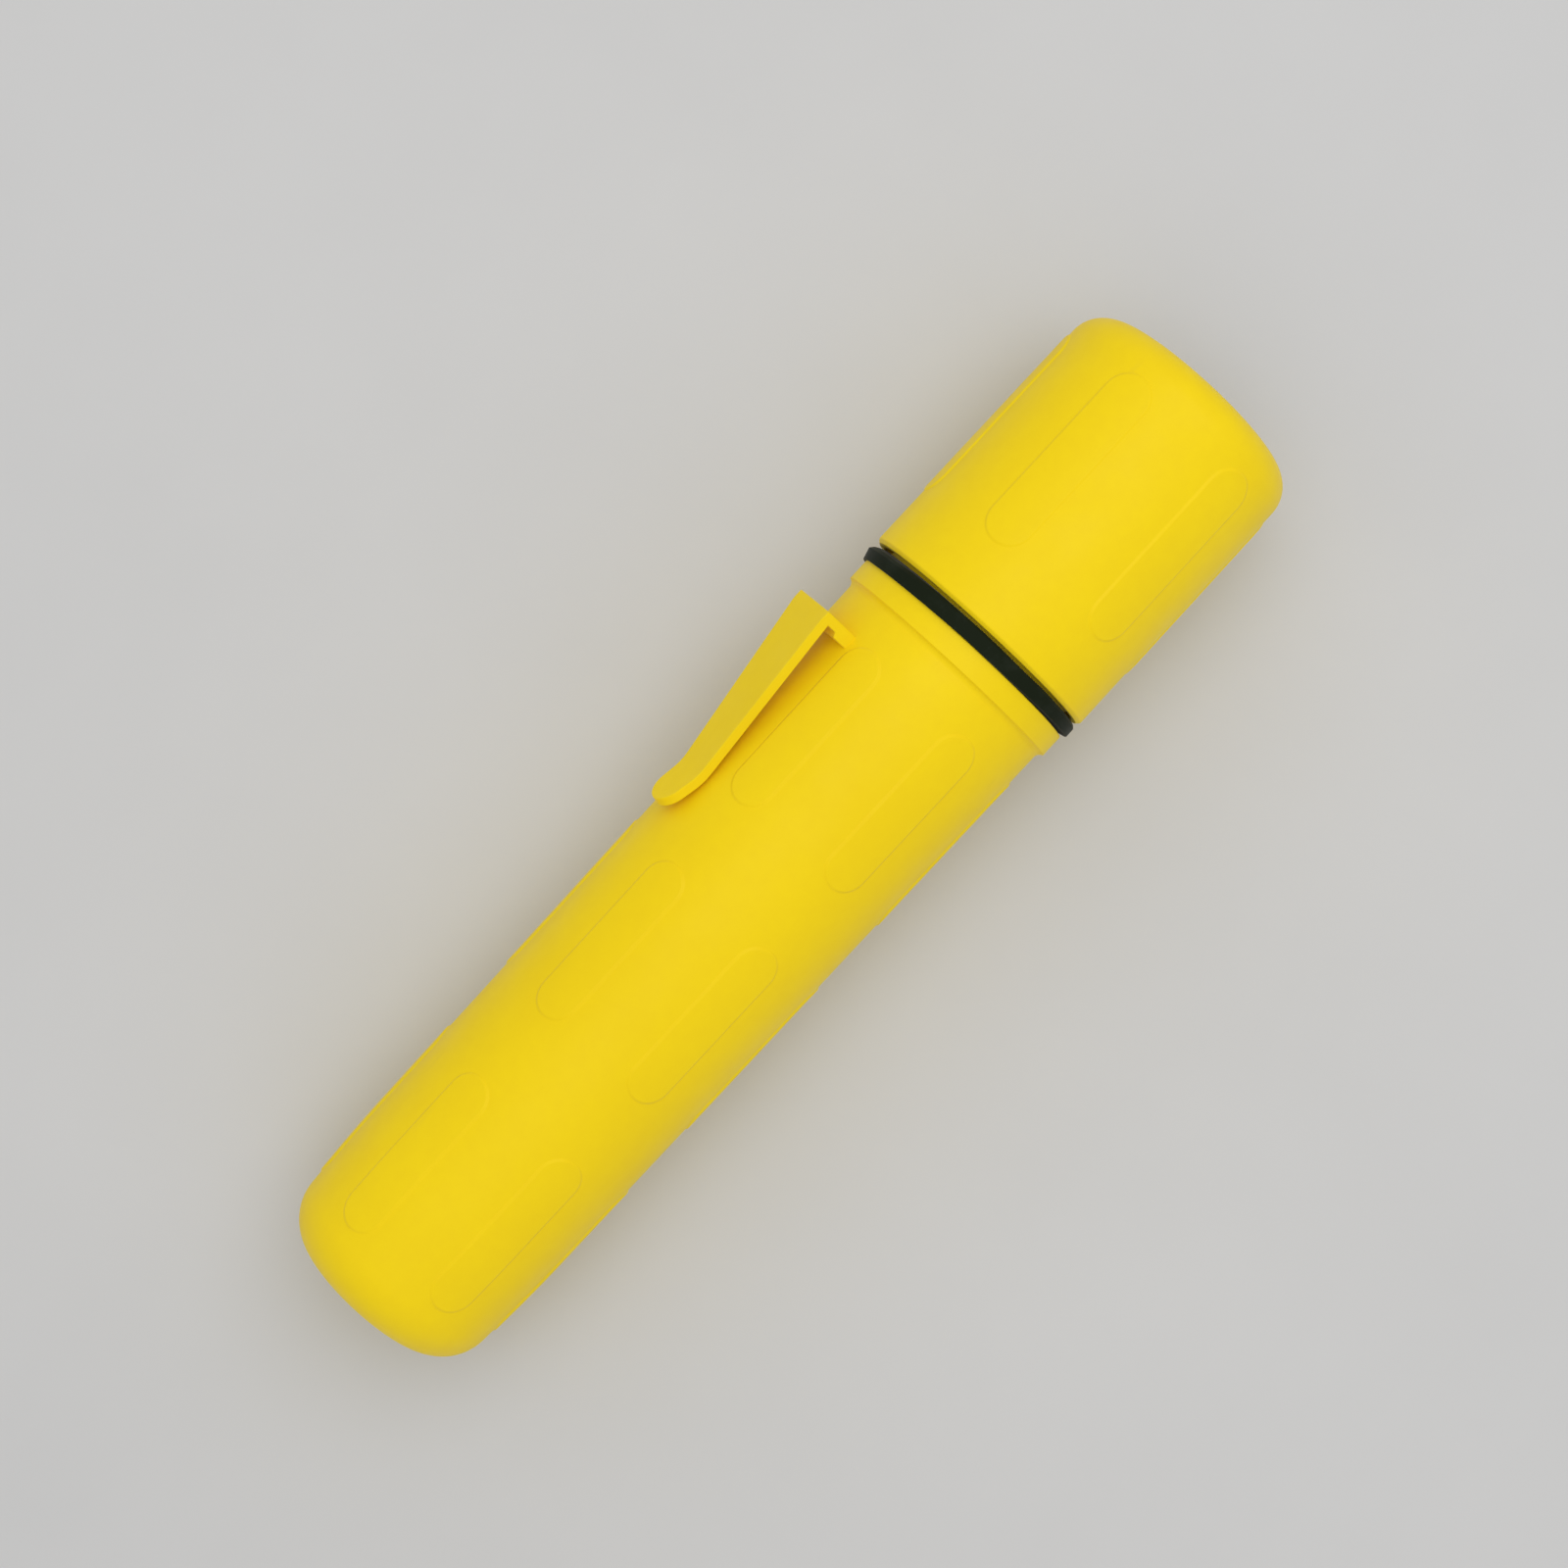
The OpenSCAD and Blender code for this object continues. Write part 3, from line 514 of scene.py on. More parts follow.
def strip_channel(x, radius, angle):
    """Sinks the channel of the ground strip into the bore, with the edges of the channel on columns."""
    (least, most), (least_x, most_x) = STRIP_DEPTHS, STRIP_RISE
    depth = least + (most - least) * smooth((x - least_x) / (most_x - least_x))
    off = angle % (2 * math.pi) - math.pi
    column = np.abs(np.round(off / (2 * math.pi) * COLUMNS))
    in_bore = (radius < BORE_R + 2 * CRISP) & (x > STRIP_START_X)
    radius = np.where((column <= STRIP_COLUMNS) & in_bore, radius + depth, radius)
    for edge, half in ((STRIP_COLUMNS, STRIP_HALF), (STRIP_COLUMNS + 1, STRIP_HALF + STRIP_WALL)):
        angle = np.where((column == edge) & in_bore, math.pi + np.sign(off) * half, angle)
    return x, radius, angle


def body_shell(material):
    """The tube with its pads, collar and threaded neck, and its bore, as one closed skin."""
    skin = Skin()
    firsts, _, _, turn = BODY_PADS
    ring = even_angles(COLUMNS, turn - PAD_STEP / 2)

    # Tail face and tail corner
    tail = [(GATE_DEPTH, 0), (GATE_DEPTH, GATE_FLOOR_R, FULL), (0, GATE_R, FULL),
            (0, tube_r(0), TAIL_CORNER, 18), (BODY_CELLS[0], tube_r(BODY_CELLS[0]))]
    rows = rings(skin, *[part[:-1] for part in outline(tail, False)], ring)
    rows.append(skin.add(*wrapped(BODY_CELLS[0], ring, with_pads(tube_r, BODY_PADS))))
    skin.cover(rows, True)
    now = rows[-1]
    for first, x_from, x_to in zip(firsts, BODY_CELLS[:-1], BODY_CELLS[1:]):
        now = pad_row(skin, now, x_from, x_to, first, BODY_PADS, tube_r)

    # Collar and gasket seat
    collar = [(BODY_CELLS[-1], tube_r(BODY_CELLS[-1])), (FOOT_X, TUBE_NECK_R, COVE, 6),
              (COLLAR_X, COLLAR_R, COLLAR_EDGE, 4), (SEAT_X, COLLAR_R, SOFT), (SEAT_X, NECK_R, FULL),
              (NECK_THREAD[0] - NECK_RELIEF, NECK_R)]
    rows = [now] + rings(skin, *[part[1:] for part in outline(collar, False)], ring)

    # Threaded neck
    def neck_r(x, angle):
        return NECK_R + thread(x, angle, NECK_THREAD, 0)

    stations = np.arange(NECK_THREAD[0], NECK_THREAD[1], THREAD_ROW)
    rows += [skin.add(*wrapped(x, ring, neck_r)) for x in stations]

    # Front end of the neck, bore with the channel of the ground strip, and the inside of the tail
    seat_in, seat_out, seat_x = SPRING_SEAT
    inside = [(NECK_THREAD[1], NECK_R), (NECK_X - NECK_CHAMFER, NECK_R, CRISP),
              (NECK_X, NECK_R - NECK_CHAMFER, CRISP), (NECK_X, BORE_R, CRISP),
              (CROWN_X, BORE_R, BORE_BLEND), (INNER_X, INNER_R, INNER_CORNER, 8),
              (TAIL_WALL, INNER_FLOOR_R, INNER_FILLET), (TAIL_WALL, seat_out, CRISP),
              (seat_x, seat_out, SOFT), (seat_x, seat_in, SOFT), (TAIL_WALL, seat_in, CRISP),
              (TAIL_WALL, 0)]
    rows += rings(skin, *outline(inside, False), ring, strip_channel)
    skin.cover(rows, True)
    make("body_tube", skin, material, "barrel", ["body_shell"])


def head_shell(material):
    """The head with its pads and window, and its bores and thread, as one closed skin."""
    skin = Skin()
    firsts, _, _, turn = HEAD_PADS
    ring = even_angles(COLUMNS, turn - PAD_STEP / 2)
    rim = [(RIM_X, HEAD_BORE_R + MOUTH_CHAMFER), (RIM_X, HEAD_R - RIM_BEVEL, SOFT),
           (RIM_X + RIM_BEVEL, HEAD_R, RIM_EDGE), (HEAD_CELLS[0], head_r(HEAD_CELLS[0]))]
    rows = rings(skin, *[part[:-1] for part in outline(rim, False)], ring)
    rim_ring = rows[0]
    rows.append(skin.add(*wrapped(HEAD_CELLS[0], ring, with_pads(head_r, HEAD_PADS))))
    skin.cover(rows, True)
    now = pad_row(skin, rows[-1], *HEAD_CELLS, firsts[0], HEAD_PADS, head_r)

    def bore_r(x, angle):
        return HEAD_BORE_R - thread(x, angle, HEAD_THREAD, 0.5)

    groove_x, groove_front_x, groove_r = GROOVE
    front = [(HEAD_CELLS[1], head_r(HEAD_CELLS[1])), (HEAD_X, HEAD_END_R, HEAD_CORNER, 14),
             (HEAD_X, WINDOW_R + WINDOW_BEVEL, WINDOW_EDGE), (HEAD_X - WINDOW_BEVEL, WINDOW_R, WINDOW_EDGE),
             (LIP_X, WINDOW_R, SOFT), (LIP_X, LAMP_BORE_R, SOFT),
             (groove_front_x, LAMP_BORE_R, SHARP), (groove_front_x, groove_r, SHARP),
             (groove_x, groove_r, SHARP), (groove_x, LAMP_BORE_R, SHARP),
             (THREAD_END_X + HEAD_BORE_R - LAMP_BORE_R, LAMP_BORE_R), (THREAD_END_X, HEAD_BORE_R),
             (HEAD_THREAD[1], HEAD_BORE_R)]
    rows = [now] + rings(skin, *[part[1:] for part in outline(front, False)], ring)
    stations = np.arange(HEAD_THREAD[1], HEAD_THREAD[0], -THREAD_ROW)[1:]
    rows += [skin.add(*wrapped(x, ring, bore_r, -1)) for x in stations]
    mouth = [(HEAD_THREAD[0], HEAD_BORE_R), (RIM_X + MOUTH_CHAMFER, HEAD_BORE_R, CRISP),
             (RIM_X, HEAD_BORE_R + MOUTH_CHAMFER)]
    rows += rings(skin, *[part[:-1] for part in outline(mouth, False)], ring)
    rows.append(rim_ring)
    skin.cover(rows, True)
    make("head_body", skin, material, "head", ["head_shell"])


# ---------------- belt clip


def clip_space(points, normals):
    """Carries points (along, across, out) and normals to the clip's place on the light."""
    c, s = math.cos(CLIP_TURN), math.sin(CLIP_TURN)
    axes = np.array([[1, 0, 0], [0, c, -s], [0, s, c]])
    return points @ axes, normals @ axes


def clip_half(x):
    """Half the clip's width at a station between its tip and its root."""
    return CLIP_TIP_R + CLIP_SPREAD * (x - CLIP_TIP_X)


def clip_middle(x):
    """Distance of the plate's middle from the axis, and its slope, at a station."""
    low = THROAT_LOW + CLIP_T / 2
    slope = (CLIP_TOP_R - CLIP_T / 2 - low) / (CLIP_ROOT_X - THROAT_X)
    curl = CURL_RISE / (THROAT_X - CLIP_X - CLIP_T / 2) + slope
    past = THROAT_X + CURL_BLEND - x
    bow = np.where(past < 2 * CURL_BLEND, past ** 2 / (4 * CURL_BLEND), past - CURL_BLEND)
    turn = np.where(past < 2 * CURL_BLEND, past / (2 * CURL_BLEND), 1)
    bow, turn = np.where(past > 0, bow, 0), np.where(past > 0, turn, 0)
    # In the root wall the plate levels off under the flat top of the wall
    level_x = np.minimum(x, CLIP_ROOT_X)
    rise, turned_up = low + slope * (level_x - THROAT_X), np.where(x < CLIP_ROOT_X, slope, 0)
    return rise + curl * bow, turned_up - curl * turn


def belt_clip(material):
    """Sprung plate with rounded edges, bent along its middle line and buried at its root in the wall."""
    skin = Skin()
    side_points, tip_points, edge_points, across = 34, 15, 5, 8
    taper = math.atan(CLIP_SPREAD)
    straight = np.linspace(CLIP_BURIED, CLIP_TIP_X, side_points)[:-1]
    arc = np.linspace(math.pi / 2 + taper, math.pi, tip_points)
    edge_x = np.concatenate([straight, CLIP_TIP_X + CLIP_TIP_R * np.cos(arc)])
    edge_y = np.concatenate([clip_half(straight), CLIP_TIP_R * np.sin(arc)])
    way_x = np.concatenate([np.full(len(straight), -math.sin(taper)), np.cos(arc)])
    way_y = np.concatenate([np.full(len(straight), math.cos(taper)), np.sin(arc)])
    way_y[-1] = edge_y[-1] = 0

    def bend(x, y, out, nx, ny, nz):
        """Bends flat points and normals along the plate's middle line."""
        x, y, out, nx, ny, nz = np.broadcast_arrays(x, y, out, nx, ny, nz)
        height, slope = clip_middle(x)
        c, s = np.cos(np.arctan(slope)), np.sin(np.arctan(slope))
        points = np.stack([x - out * s, y, height + out * c], axis=-1)
        normals = np.stack([nx * c - nz * s, ny, nx * s + nz * c], axis=-1)
        return skin.add(*clip_space(points, normals))

    # Round the lower edge and the upper edge: inset from the outline, height, and lean of the normal
    lean = np.radians(np.linspace(-90, 0, edge_points))
    rounds = [(SOFT * (1 - math.cos(r)), -CLIP_T / 2 + SOFT * (1 + math.sin(r)), r) for r in lean]
    rounds += [(inset, -out, -r) for inset, out, r in rounds[::-1]]
    rows = []
    for inset, out, r in rounds:
        x = edge_x - inset * way_x
        x[0] = CLIP_BURIED
        y = np.maximum(edge_y - inset * way_y, 0)
        nx, ny = way_x * math.cos(r), way_y * math.cos(r)
        one = bend(x, y, out, nx, ny, math.sin(r))
        other = bend(x[:-1], -y[:-1], out, nx[:-1], -ny[:-1], math.sin(r))
        rows.append((one, other, x, y))
    skin.cover([np.concatenate([one, other[::-1]]) for one, other, _, _ in rows])
    for (one, other, x, y), out, up in ((rows[0], -CLIP_T / 2, -1), (rows[-1], CLIP_T / 2, 1)):
        shares = np.linspace(1, -1, across + 1)[1:-1]
        inner = bend(x[:-1, None], y[:-1, None] * shares[None], out, 0, 0, up)
        grid = np.concatenate([one[:-1, None], inner, other[:, None]], axis=1)
        skin.cover(np.concatenate([grid, np.full((1, across + 1), one[-1])]))
    skin.face([one[0] for one, _, _, _ in rows] + [other[0] for _, other, _, _ in rows[::-1]])
    make("clip_plate", skin, material, "clip", ["belt_clip"])


def clip_root(material):
    """Root wall of the clip with its thicker foot, sunk into the tube under it."""
    skin = Skin()
    inner_x, foot_x, top = ROOT_FRONT_X - CLIP_T, ROOT_FRONT_X - FOOT_T, CLIP_TOP_R - SKIN
    corners = [(inner_x, top), (ROOT_FRONT_X, top), (ROOT_FRONT_X, ROOT_SUNK_R), (foot_x, ROOT_SUNK_R),
               (foot_x, FOOT_TOP_R), (inner_x, FOOT_TOP_R + FOOT_RISE)]
    points, normals = outline([(*corner, SOFT + SKIN, 4) for corner in corners], True)
    rows = []
    for side in (1, -1):
        loops = []
        for r in np.radians(np.linspace(0, 90, 5)):
            inset, drop = SOFT * (1 - math.cos(r)), SOFT * (1 - math.sin(r))
            x, out = (points - inset * normals).T
            y = side * (clip_half(x) - SKIN - drop)
            n = np.stack([normals[:, 0] * math.cos(r), np.full(len(x), side * math.sin(r)),
                          normals[:, 1] * math.cos(r)], axis=-1)
            loops.append(skin.add(*clip_space(np.stack([x, y, out], axis=-1), n)))
        rows = loops[::-1] + rows if side == 1 else rows + loops
        skin.face(loops[-1])
    skin.cover(rows, True)
    make("clip_root_wall", skin, material, "barrel")


# ---------------- materials


def material_of(name, color, roughness, **sockets):
    """A Principled material; gives the material, its node tree and its shader."""
    made = bpy.data.materials.new(name)
    made.use_nodes = True
    shader = made.node_tree.nodes["Principled BSDF"]
    shader.inputs["Base Color"].default_value = (*color, 1)
    shader.inputs["Roughness"].default_value = roughness
    for key, value in sockets.items():
        shader.inputs[key.replace("_", " ")].default_value = value
    made.diffuse_color = (*color, 1)
    return made, made.node_tree, shader


def add_node(tree, kind, inputs=(), **settings):
    """Adds a node; inputs is a list of (socket, value or output socket)."""
    made = tree.nodes.new(kind)
    for key, value in settings.items():
        setattr(made, key, value)
    for socket, value in inputs:
        if isinstance(value, bpy.types.NodeSocket):
            tree.links.new(value, made.inputs[socket])
        else:
            made.inputs[socket].default_value = value
    return made


def combined(tree, operation, one, other):
    """What a Math node makes of two values or sockets."""
    return add_node(tree, "ShaderNodeMath", [(0, one), (1, other)], operation=operation).outputs[0]


def noise(tree, scale, detail, stretch=None, roughness=0.5):
    """Noise in the object's own space, scale in features a metre, stretched along its axes."""
    where = add_node(tree, "ShaderNodeTexCoord").outputs["Object"]
    if stretch:
        where = add_node(tree, "ShaderNodeMapping", [("Vector", where), ("Scale", stretch)]).outputs[0]
    return add_node(tree, "ShaderNodeTexNoise", [("Vector", where), ("Scale", scale),
                                                 ("Detail", detail), ("Roughness", roughness)]).outputs[0]


def level(tree, value, low, high, to_low=0, to_high=1):
    """Maps a value from one range to another and keeps it inside."""
    return add_node(tree, "ShaderNodeMapRange", [("Value", value), ("From Min", low), ("From Max", high),
                                                 ("To Min", to_low), ("To Max", to_high)]).outputs[0]


def mixed(tree, factor, one, other):
    """Mixes two colours; each is a colour or a socket."""
    made = add_node(tree, "ShaderNodeMix", data_type="RGBA")
    for number, value in ((0, factor), (6, one), (7, other)):      # a Mix node's sockets for colours
        socket = made.inputs[number]
        if isinstance(value, bpy.types.NodeSocket):
            tree.links.new(value, socket)
        elif isinstance(value, tuple):
            socket.default_value = (*value, 1)
        else:
            socket.default_value = value
    return made.outputs[2]


def surface(tree, shader, color, roughness=None):
    """Feeds the shader its colour and, where that varies, its roughness."""
    tree.links.new(color, shader.inputs["Base Color"])
    if roughness:
        tree.links.new(roughness, shader.inputs["Roughness"])


def bump(tree, shader, layers):
    """Adds layers of bump: (height socket, strength, depth in metres)."""
    normal = None
    for height, strength, depth in layers:
        inputs = [("Height", height), ("Strength", strength), ("Distance", depth)]
        if normal:
            inputs.append(("Normal", normal))
        normal = add_node(tree, "ShaderNodeBump", inputs).outputs[0]
    tree.links.new(normal, shader.inputs["Normal"])


def yellow_plastic():
    """Moulded polyethylene: matt, slightly waxy, with faint clouding, dust, small scuffs and specks."""
    yellow, light, deep = (0.95, 0.69, 0.003), (0.965, 0.705, 0.003), (0.935, 0.672, 0.003)
    dusty, worn, dirt = (0.87, 0.59, 0.006), (0.68, 0.49, 0.04), (0.22, 0.13, 0.03)
    made, tree, shader = material_of("yellow_plastic", yellow, 0.5, Specular_IOR_Level=0.14,
                                     Sheen_Weight=0.04, Sheen_Roughness=0.5)
    cloud = level(tree, noise(tree, 28, 3), 0.3, 0.7)
    color = mixed(tree, cloud, light, deep)
    grain = level(tree, noise(tree, 420, 4, roughness=0.6), 0.35, 0.65, 0, 0.16)
    color = mixed(tree, grain, color, dusty)
    scuff = level(tree, noise(tree, 90, 5, (0.25, 1, 1), 0.62), 0.66, 0.78, 0, 0.30)
    color = mixed(tree, scuff, color, worn)
    # A speck in the middle of one cell in five
    where = add_node(tree, "ShaderNodeTexCoord").outputs["Object"]
    cells = add_node(tree, "ShaderNodeTexVoronoi", [("Vector", where), ("Scale", 95.0)]).outputs
    chance = add_node(tree, "ShaderNodeSeparateColor", [("Color", cells["Color"])]).outputs[0]
    chosen = combined(tree, "GREATER_THAN", chance, 0.80)
    spot = level(tree, cells["Distance"], 0.012, 0.03, 1, 0)
    color = mixed(tree, combined(tree, "MULTIPLY", chosen, spot), color, dirt)
    surface(tree, shader, color, level(tree, noise(tree, 140, 4), 0.3, 0.7, 0.42, 0.56))
    bump(tree, shader, [(noise(tree, 55, 2), 0.5, 0.00012), (noise(tree, 2600, 2), 0.35, 0.00002)])
    return made


def rubber():
    """Black gasket rubber with a dull, faintly dusty face."""
    black, clean, dusty = (0.009, 0.0135, 0.005), (0.008, 0.0125, 0.0045), (0.018, 0.024, 0.015)
    made, tree, shader = material_of("gasket_rubber", black, 0.72, Specular_IOR_Level=0.1,
                                     Sheen_Weight=0.06, Sheen_Roughness=0.35)
    dust = level(tree, noise(tree, 160, 5, roughness=0.6), 0.5, 0.75)
    surface(tree, shader, mixed(tree, dust, clean, dusty))
    bump(tree, shader, [(noise(tree, 700, 3), 0.4, 0.00003)])
    return made


def metal(name, color, roughness, brushed=(1, 1, 1), scale=300, wear=(0.9, 0.88, 0.85)):
    """Plain metal with fine marks along the direction that it was drawn or turned in."""
    made, tree, shader = material_of(name, color, roughness, Metallic=1.0)
    marks = noise(tree, scale, 4, brushed, 0.6)
    darker = tuple(c * w for c, w in zip(color, wear))
    surface(tree, shader, mixed(tree, level(tree, marks, 0.3, 0.7), color, darker),
            level(tree, marks, 0.3, 0.7, roughness * 0.8, roughness * 1.3))
    bump(tree, shader, [(marks, 0.15, 0.00001)])
    return made


def plain_plastic(name, color, other, roughness):
    """Moulded plastic with a fine grain."""
    made, tree, shader = material_of(name, color, roughness, Specular_IOR_Level=0.4)
    cloud = level(tree, noise(tree, 60, 3), 0.35, 0.65)
    surface(tree, shader, mixed(tree, cloud, color, other),
            level(tree, noise(tree, 200, 3), 0.3, 0.7, roughness * 0.85, roughness * 1.15))
    bump(tree, shader, [(noise(tree, 1600, 2), 0.3, 0.00002)])
    return made


def clear(name, color, ior, roughness):
    """Clear lens plastic or glass, with a trace of dust in its gloss."""
    made, tree, shader = material_of(name, color, roughness, Transmission_Weight=1.0, IOR=ior)
    dust = level(tree, noise(tree, 240, 4), 0.45, 0.8, roughness, roughness + 0.08)
    tree.links.new(dust, shader.inputs["Roughness"])
    return made


def jacket_film():
    """Dark blue shrunk film round a cell, slightly uneven under its gloss."""
    made, tree, shader = material_of("cell_jacket", (0.02, 0.035, 0.11), 0.28, Coat_Weight=0.3)
    cloud = level(tree, noise(tree, 30, 3), 0.35, 0.65)
    surface(tree, shader, mixed(tree, cloud, (0.018, 0.032, 0.10), (0.026, 0.044, 0.13)))
    bump(tree, shader, [(noise(tree, 90, 2), 0.2, 0.00005)])
    return made


# ---------------- smaller pieces


def gasket(material):
    """Flat gasket that sits a little askew: on the clip's side its edge folds back over the collar and
    bulges past it, and on the far side it stands off the collar."""
    bore_r, chamfer_x, chamfer_r = NECK_R + 0.1, GASKET_X - 0.45, GASKET_R - 0.4
    past_low, past_high = COLLAR_R - 0.1, COLLAR_R + 0.2      # where it leaves the collar's edge
    middle = (SEAT_X + GASKET_X) / 2

    def askew(x, radius, angle):
        outer = smooth(radius - NECK_R - FOLD_W)
        over = smooth((radius - past_low) / (past_high - past_low))
        edge = smooth((radius - GASKET_R + FOLD_W) / FOLD_W)
        near = np.cos(angle - GASKET_LOW)
        folded = np.maximum(near, 0) ** 3
        # Small waves in its faces and in its outline
        wave = 0.06 * np.sin(5 * angle + 0.6) + 0.03 * np.sin(9 * angle + 2)
        lean = np.where(near > 0, -LEAN_NEAR * near * over, -LEAN_FAR * near * outer)
        rear = lean + 0.1 * over + np.maximum(wave, 0) * outer
        front = (0.07 + np.minimum(wave, 0)) * outer - FOLD * folded * edge
        ripple = 0.04 * np.sin(3 * angle + 1.1) + 0.03 * np.sin(7 * angle) - 0.07
        ahead = x > middle
        radius = radius + ripple * outer + np.where(ahead, BULGE * folded * edge, 0)
        return x + np.where(ahead, front, rear), radius, angle

    corners = [(SEAT_X, bore_r), (SEAT_X, past_low, 0), (SEAT_X, past_high, 0),
               (SEAT_X, GASKET_R, GASKET_EDGE, 4), (chamfer_x, GASKET_R, GASKET_EDGE, 4),
               (GASKET_X, chamfer_r, GASKET_EDGE, 4), (GASKET_X, GASKET_R - 2 * FOLD_W / 3, 0),
               (GASKET_X, GASKET_R - FOLD_W, 0), (GASKET_X, bore_r)]
    turned("gasket_ring", corners, material, "barrel", ["gasket"], 144, askew)


def lens_pieces(clear_plastic, rubber_black):
    """The lens disc and the rubber ring that seals it against the lip of the head."""
    disc = [(LENS_X, 0), (LENS_X, DISC_R, LENS_EDGE, 4), (LENS_FRONT_X, DISC_R, LENS_EDGE, 4),
            (LENS_FRONT_X, 0)]
    turned("lens_disc", disc, clear_plastic, "head", ["lens"])
    inner = WINDOW_R + WINDOW_BEVEL
    ring = [(LIP_X, inner, FULL), (LIP_X, DISC_R), (LENS_FRONT_X, DISC_R), (LENS_FRONT_X, inner, FULL)]
    turned("lens_gasket", ring, rubber_black, "head", ["lens_seal"])


def reflector(bright):
    """A paraboloid with its flange in front and the neck that holds the bulb behind."""
    def bowl_x(r):
        return VERTEX_X + r * r / (4 * FOCAL)

    back_r = 2 * math.sqrt(FOCAL * (FLANGE_X + REFLECTOR_WALL - VERTEX_X))
    bowl = [(bowl_x(r), r, 0) for r in np.linspace(MOUTH_R, BULB_HOLE_R, 60)]
    back = [(bowl_x(r) - REFLECTOR_WALL, r, 0) for r in np.linspace(STEM_R, back_r, 24)]
    corners = [(REFLECTOR_X, STEM_R)] + back + [(FLANGE_X, REFLECTOR_R)]
    corners += [(MOUTH_X, REFLECTOR_R, SOFT), (MOUTH_X, MOUTH_R, MOUTH_EDGE)] + bowl[1:]
    corners += [(BULB_SEAT_X, BULB_HOLE_R, CRISP), (BULB_SEAT_X, STEM_BORE_R, CRISP)]
    corners.append((REFLECTOR_X, STEM_BORE_R))
    turned("reflector_bowl", corners, bright, "lamp_module", ["reflector"], 128)


def bulb_base(brass):
    """Flanged base of the bulb, with its solder tip."""
    tip, flange_back = BASE_X + SOLDER_H, BULB_SEAT_X - BASE_FLANGE_T
    cap = [(BASE_X, 0), (BASE_X, BASE_R / 3, FULL), (tip, BASE_R / 2, CRISP),
           (tip, BASE_R - BASE_BEVEL, FULL), (tip + BASE_BEVEL, BASE_R, 2 * SOFT),
           (flange_back, BASE_R, SOFT), (flange_back, BASE_FLANGE_R, FLANGE_EDGE),
           (BULB_SEAT_X, BASE_FLANGE_R, FLANGE_EDGE), (BULB_SEAT_X, 0)]
    turned("bulb_cap", cap, brass, "lamp_module", ["bulb_base"])


def bulb_glass(glass):
    """Thin round envelope of the bulb with its neck."""
    centre = GLASS_FRONT_X - GLOBE_R

    def globe(radius, neck):
        """Half outline of the globe, from its front pole to a soft bend into the neck."""
        last = math.pi - math.asin(neck / radius) - 0.12
        side = [(centre + radius * math.cos(a), radius * math.sin(a), 0) for a in np.linspace(0, last, 30)]
        bend_x = centre - math.sqrt(radius ** 2 - neck ** 2) - 0.5
        return side + [(bend_x, neck, GLASS_BEND, 8), (GLASS_X, neck, GLASS_EDGE)]

    envelope = globe(GLOBE_R - GLASS_WALL, GLASS_NECK_R - GLASS_WALL) + globe(GLOBE_R, GLASS_NECK_R)[::-1]
    turned("bulb_envelope", envelope, glass, "lamp_module", ["bulb_glass"], 64)


def bulb_inside(steel, ceramic):
    """Bead with two wires, and between their ends the coiled filament."""
    foot = GLASS_X + BEAD_GAP
    bead = [(foot, 0), (foot, BEAD_R, 0.4), (GLASS_X + 1, BEAD_R - 0.4, 0.6),
            (GLASS_X + BEAD_H - CRISP, BEAD_TOP_R, 0.5), (GLASS_X + BEAD_H, 0)]
    turned("bulb_bead", bead, ceramic, "lamp_module", [], 40)
    skin = Skin()
    for side in (1, -1):
        course = [(GLASS_X + 1, LEAD_FOOT, 0), (FOCUS_X - 2.2, LEAD_FOOT + 0.05, 0),
                  (FOCUS_X - 0.9, LEAD_TOP - 0.2, 0), (FOCUS_X, LEAD_TOP, 0),
                  (FOCUS_X + 0.25, LEAD_TOP - 0.2, 0)]
        swept(skin, bent(np.array(course) * (1, side, 1), 24), LEAD_R, 8)
    make("bulb_wires", skin, steel, "lamp_module")
    skin = Skin()
    t = np.linspace(0, 1, FILAMENT_TURNS * 12 + 1)
    turn, across = 2 * math.pi * FILAMENT_TURNS * t, 2 * t - 1
    sag = FILAMENT_SAG * (1 - across ** 2)
    course = np.stack([FOCUS_X + sag + FILAMENT_R * np.cos(turn), FILAMENT_HALF * across,
                       FILAMENT_R * np.sin(turn)], axis=-1)
    swept(skin, course, FILAMENT_WIRE_R, 5)
    make("bulb_filament", skin, steel, "lamp_module")


def springs(steel):
    """Tail spring under the rear cell, and the small spring behind the contact plunger."""
    coil("tail_coil", steel, "barrel", ["tail_spring"], TAIL_SPRING_X,
         TAIL_SPRING_FRONT_X - TAIL_SPRING_X, TAIL_SPRING_R - TAIL_WIRE / 2, TAIL_SPRING_TOP_R,
         TAIL_WIRE, TAIL_TURNS)
    length = SOLDER_X - PLUNGER_FRONT_X
    small = coil("contact_coil", steel, "lamp_module", ["contact_spring"],
                 PLUNGER_FRONT_X, length, CONTACT_SPRING_R - CONTACT_WIRE / 2, CONTACT_SPRING_TOP_R,
                 CONTACT_WIRE, CONTACT_TURNS)
    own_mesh(small)


def tune_cad_nodes(materials):
    """Gives the CAD nodes that stay their materials."""
    for name, material in materials.items():
        node = frame["nodes"][name]
        node.data.materials.clear()
        node.data.materials.append(material)


# ---------------- stage, light and camera

FLOOR_HALF, FLOOR_GAP = 4000, 0.03


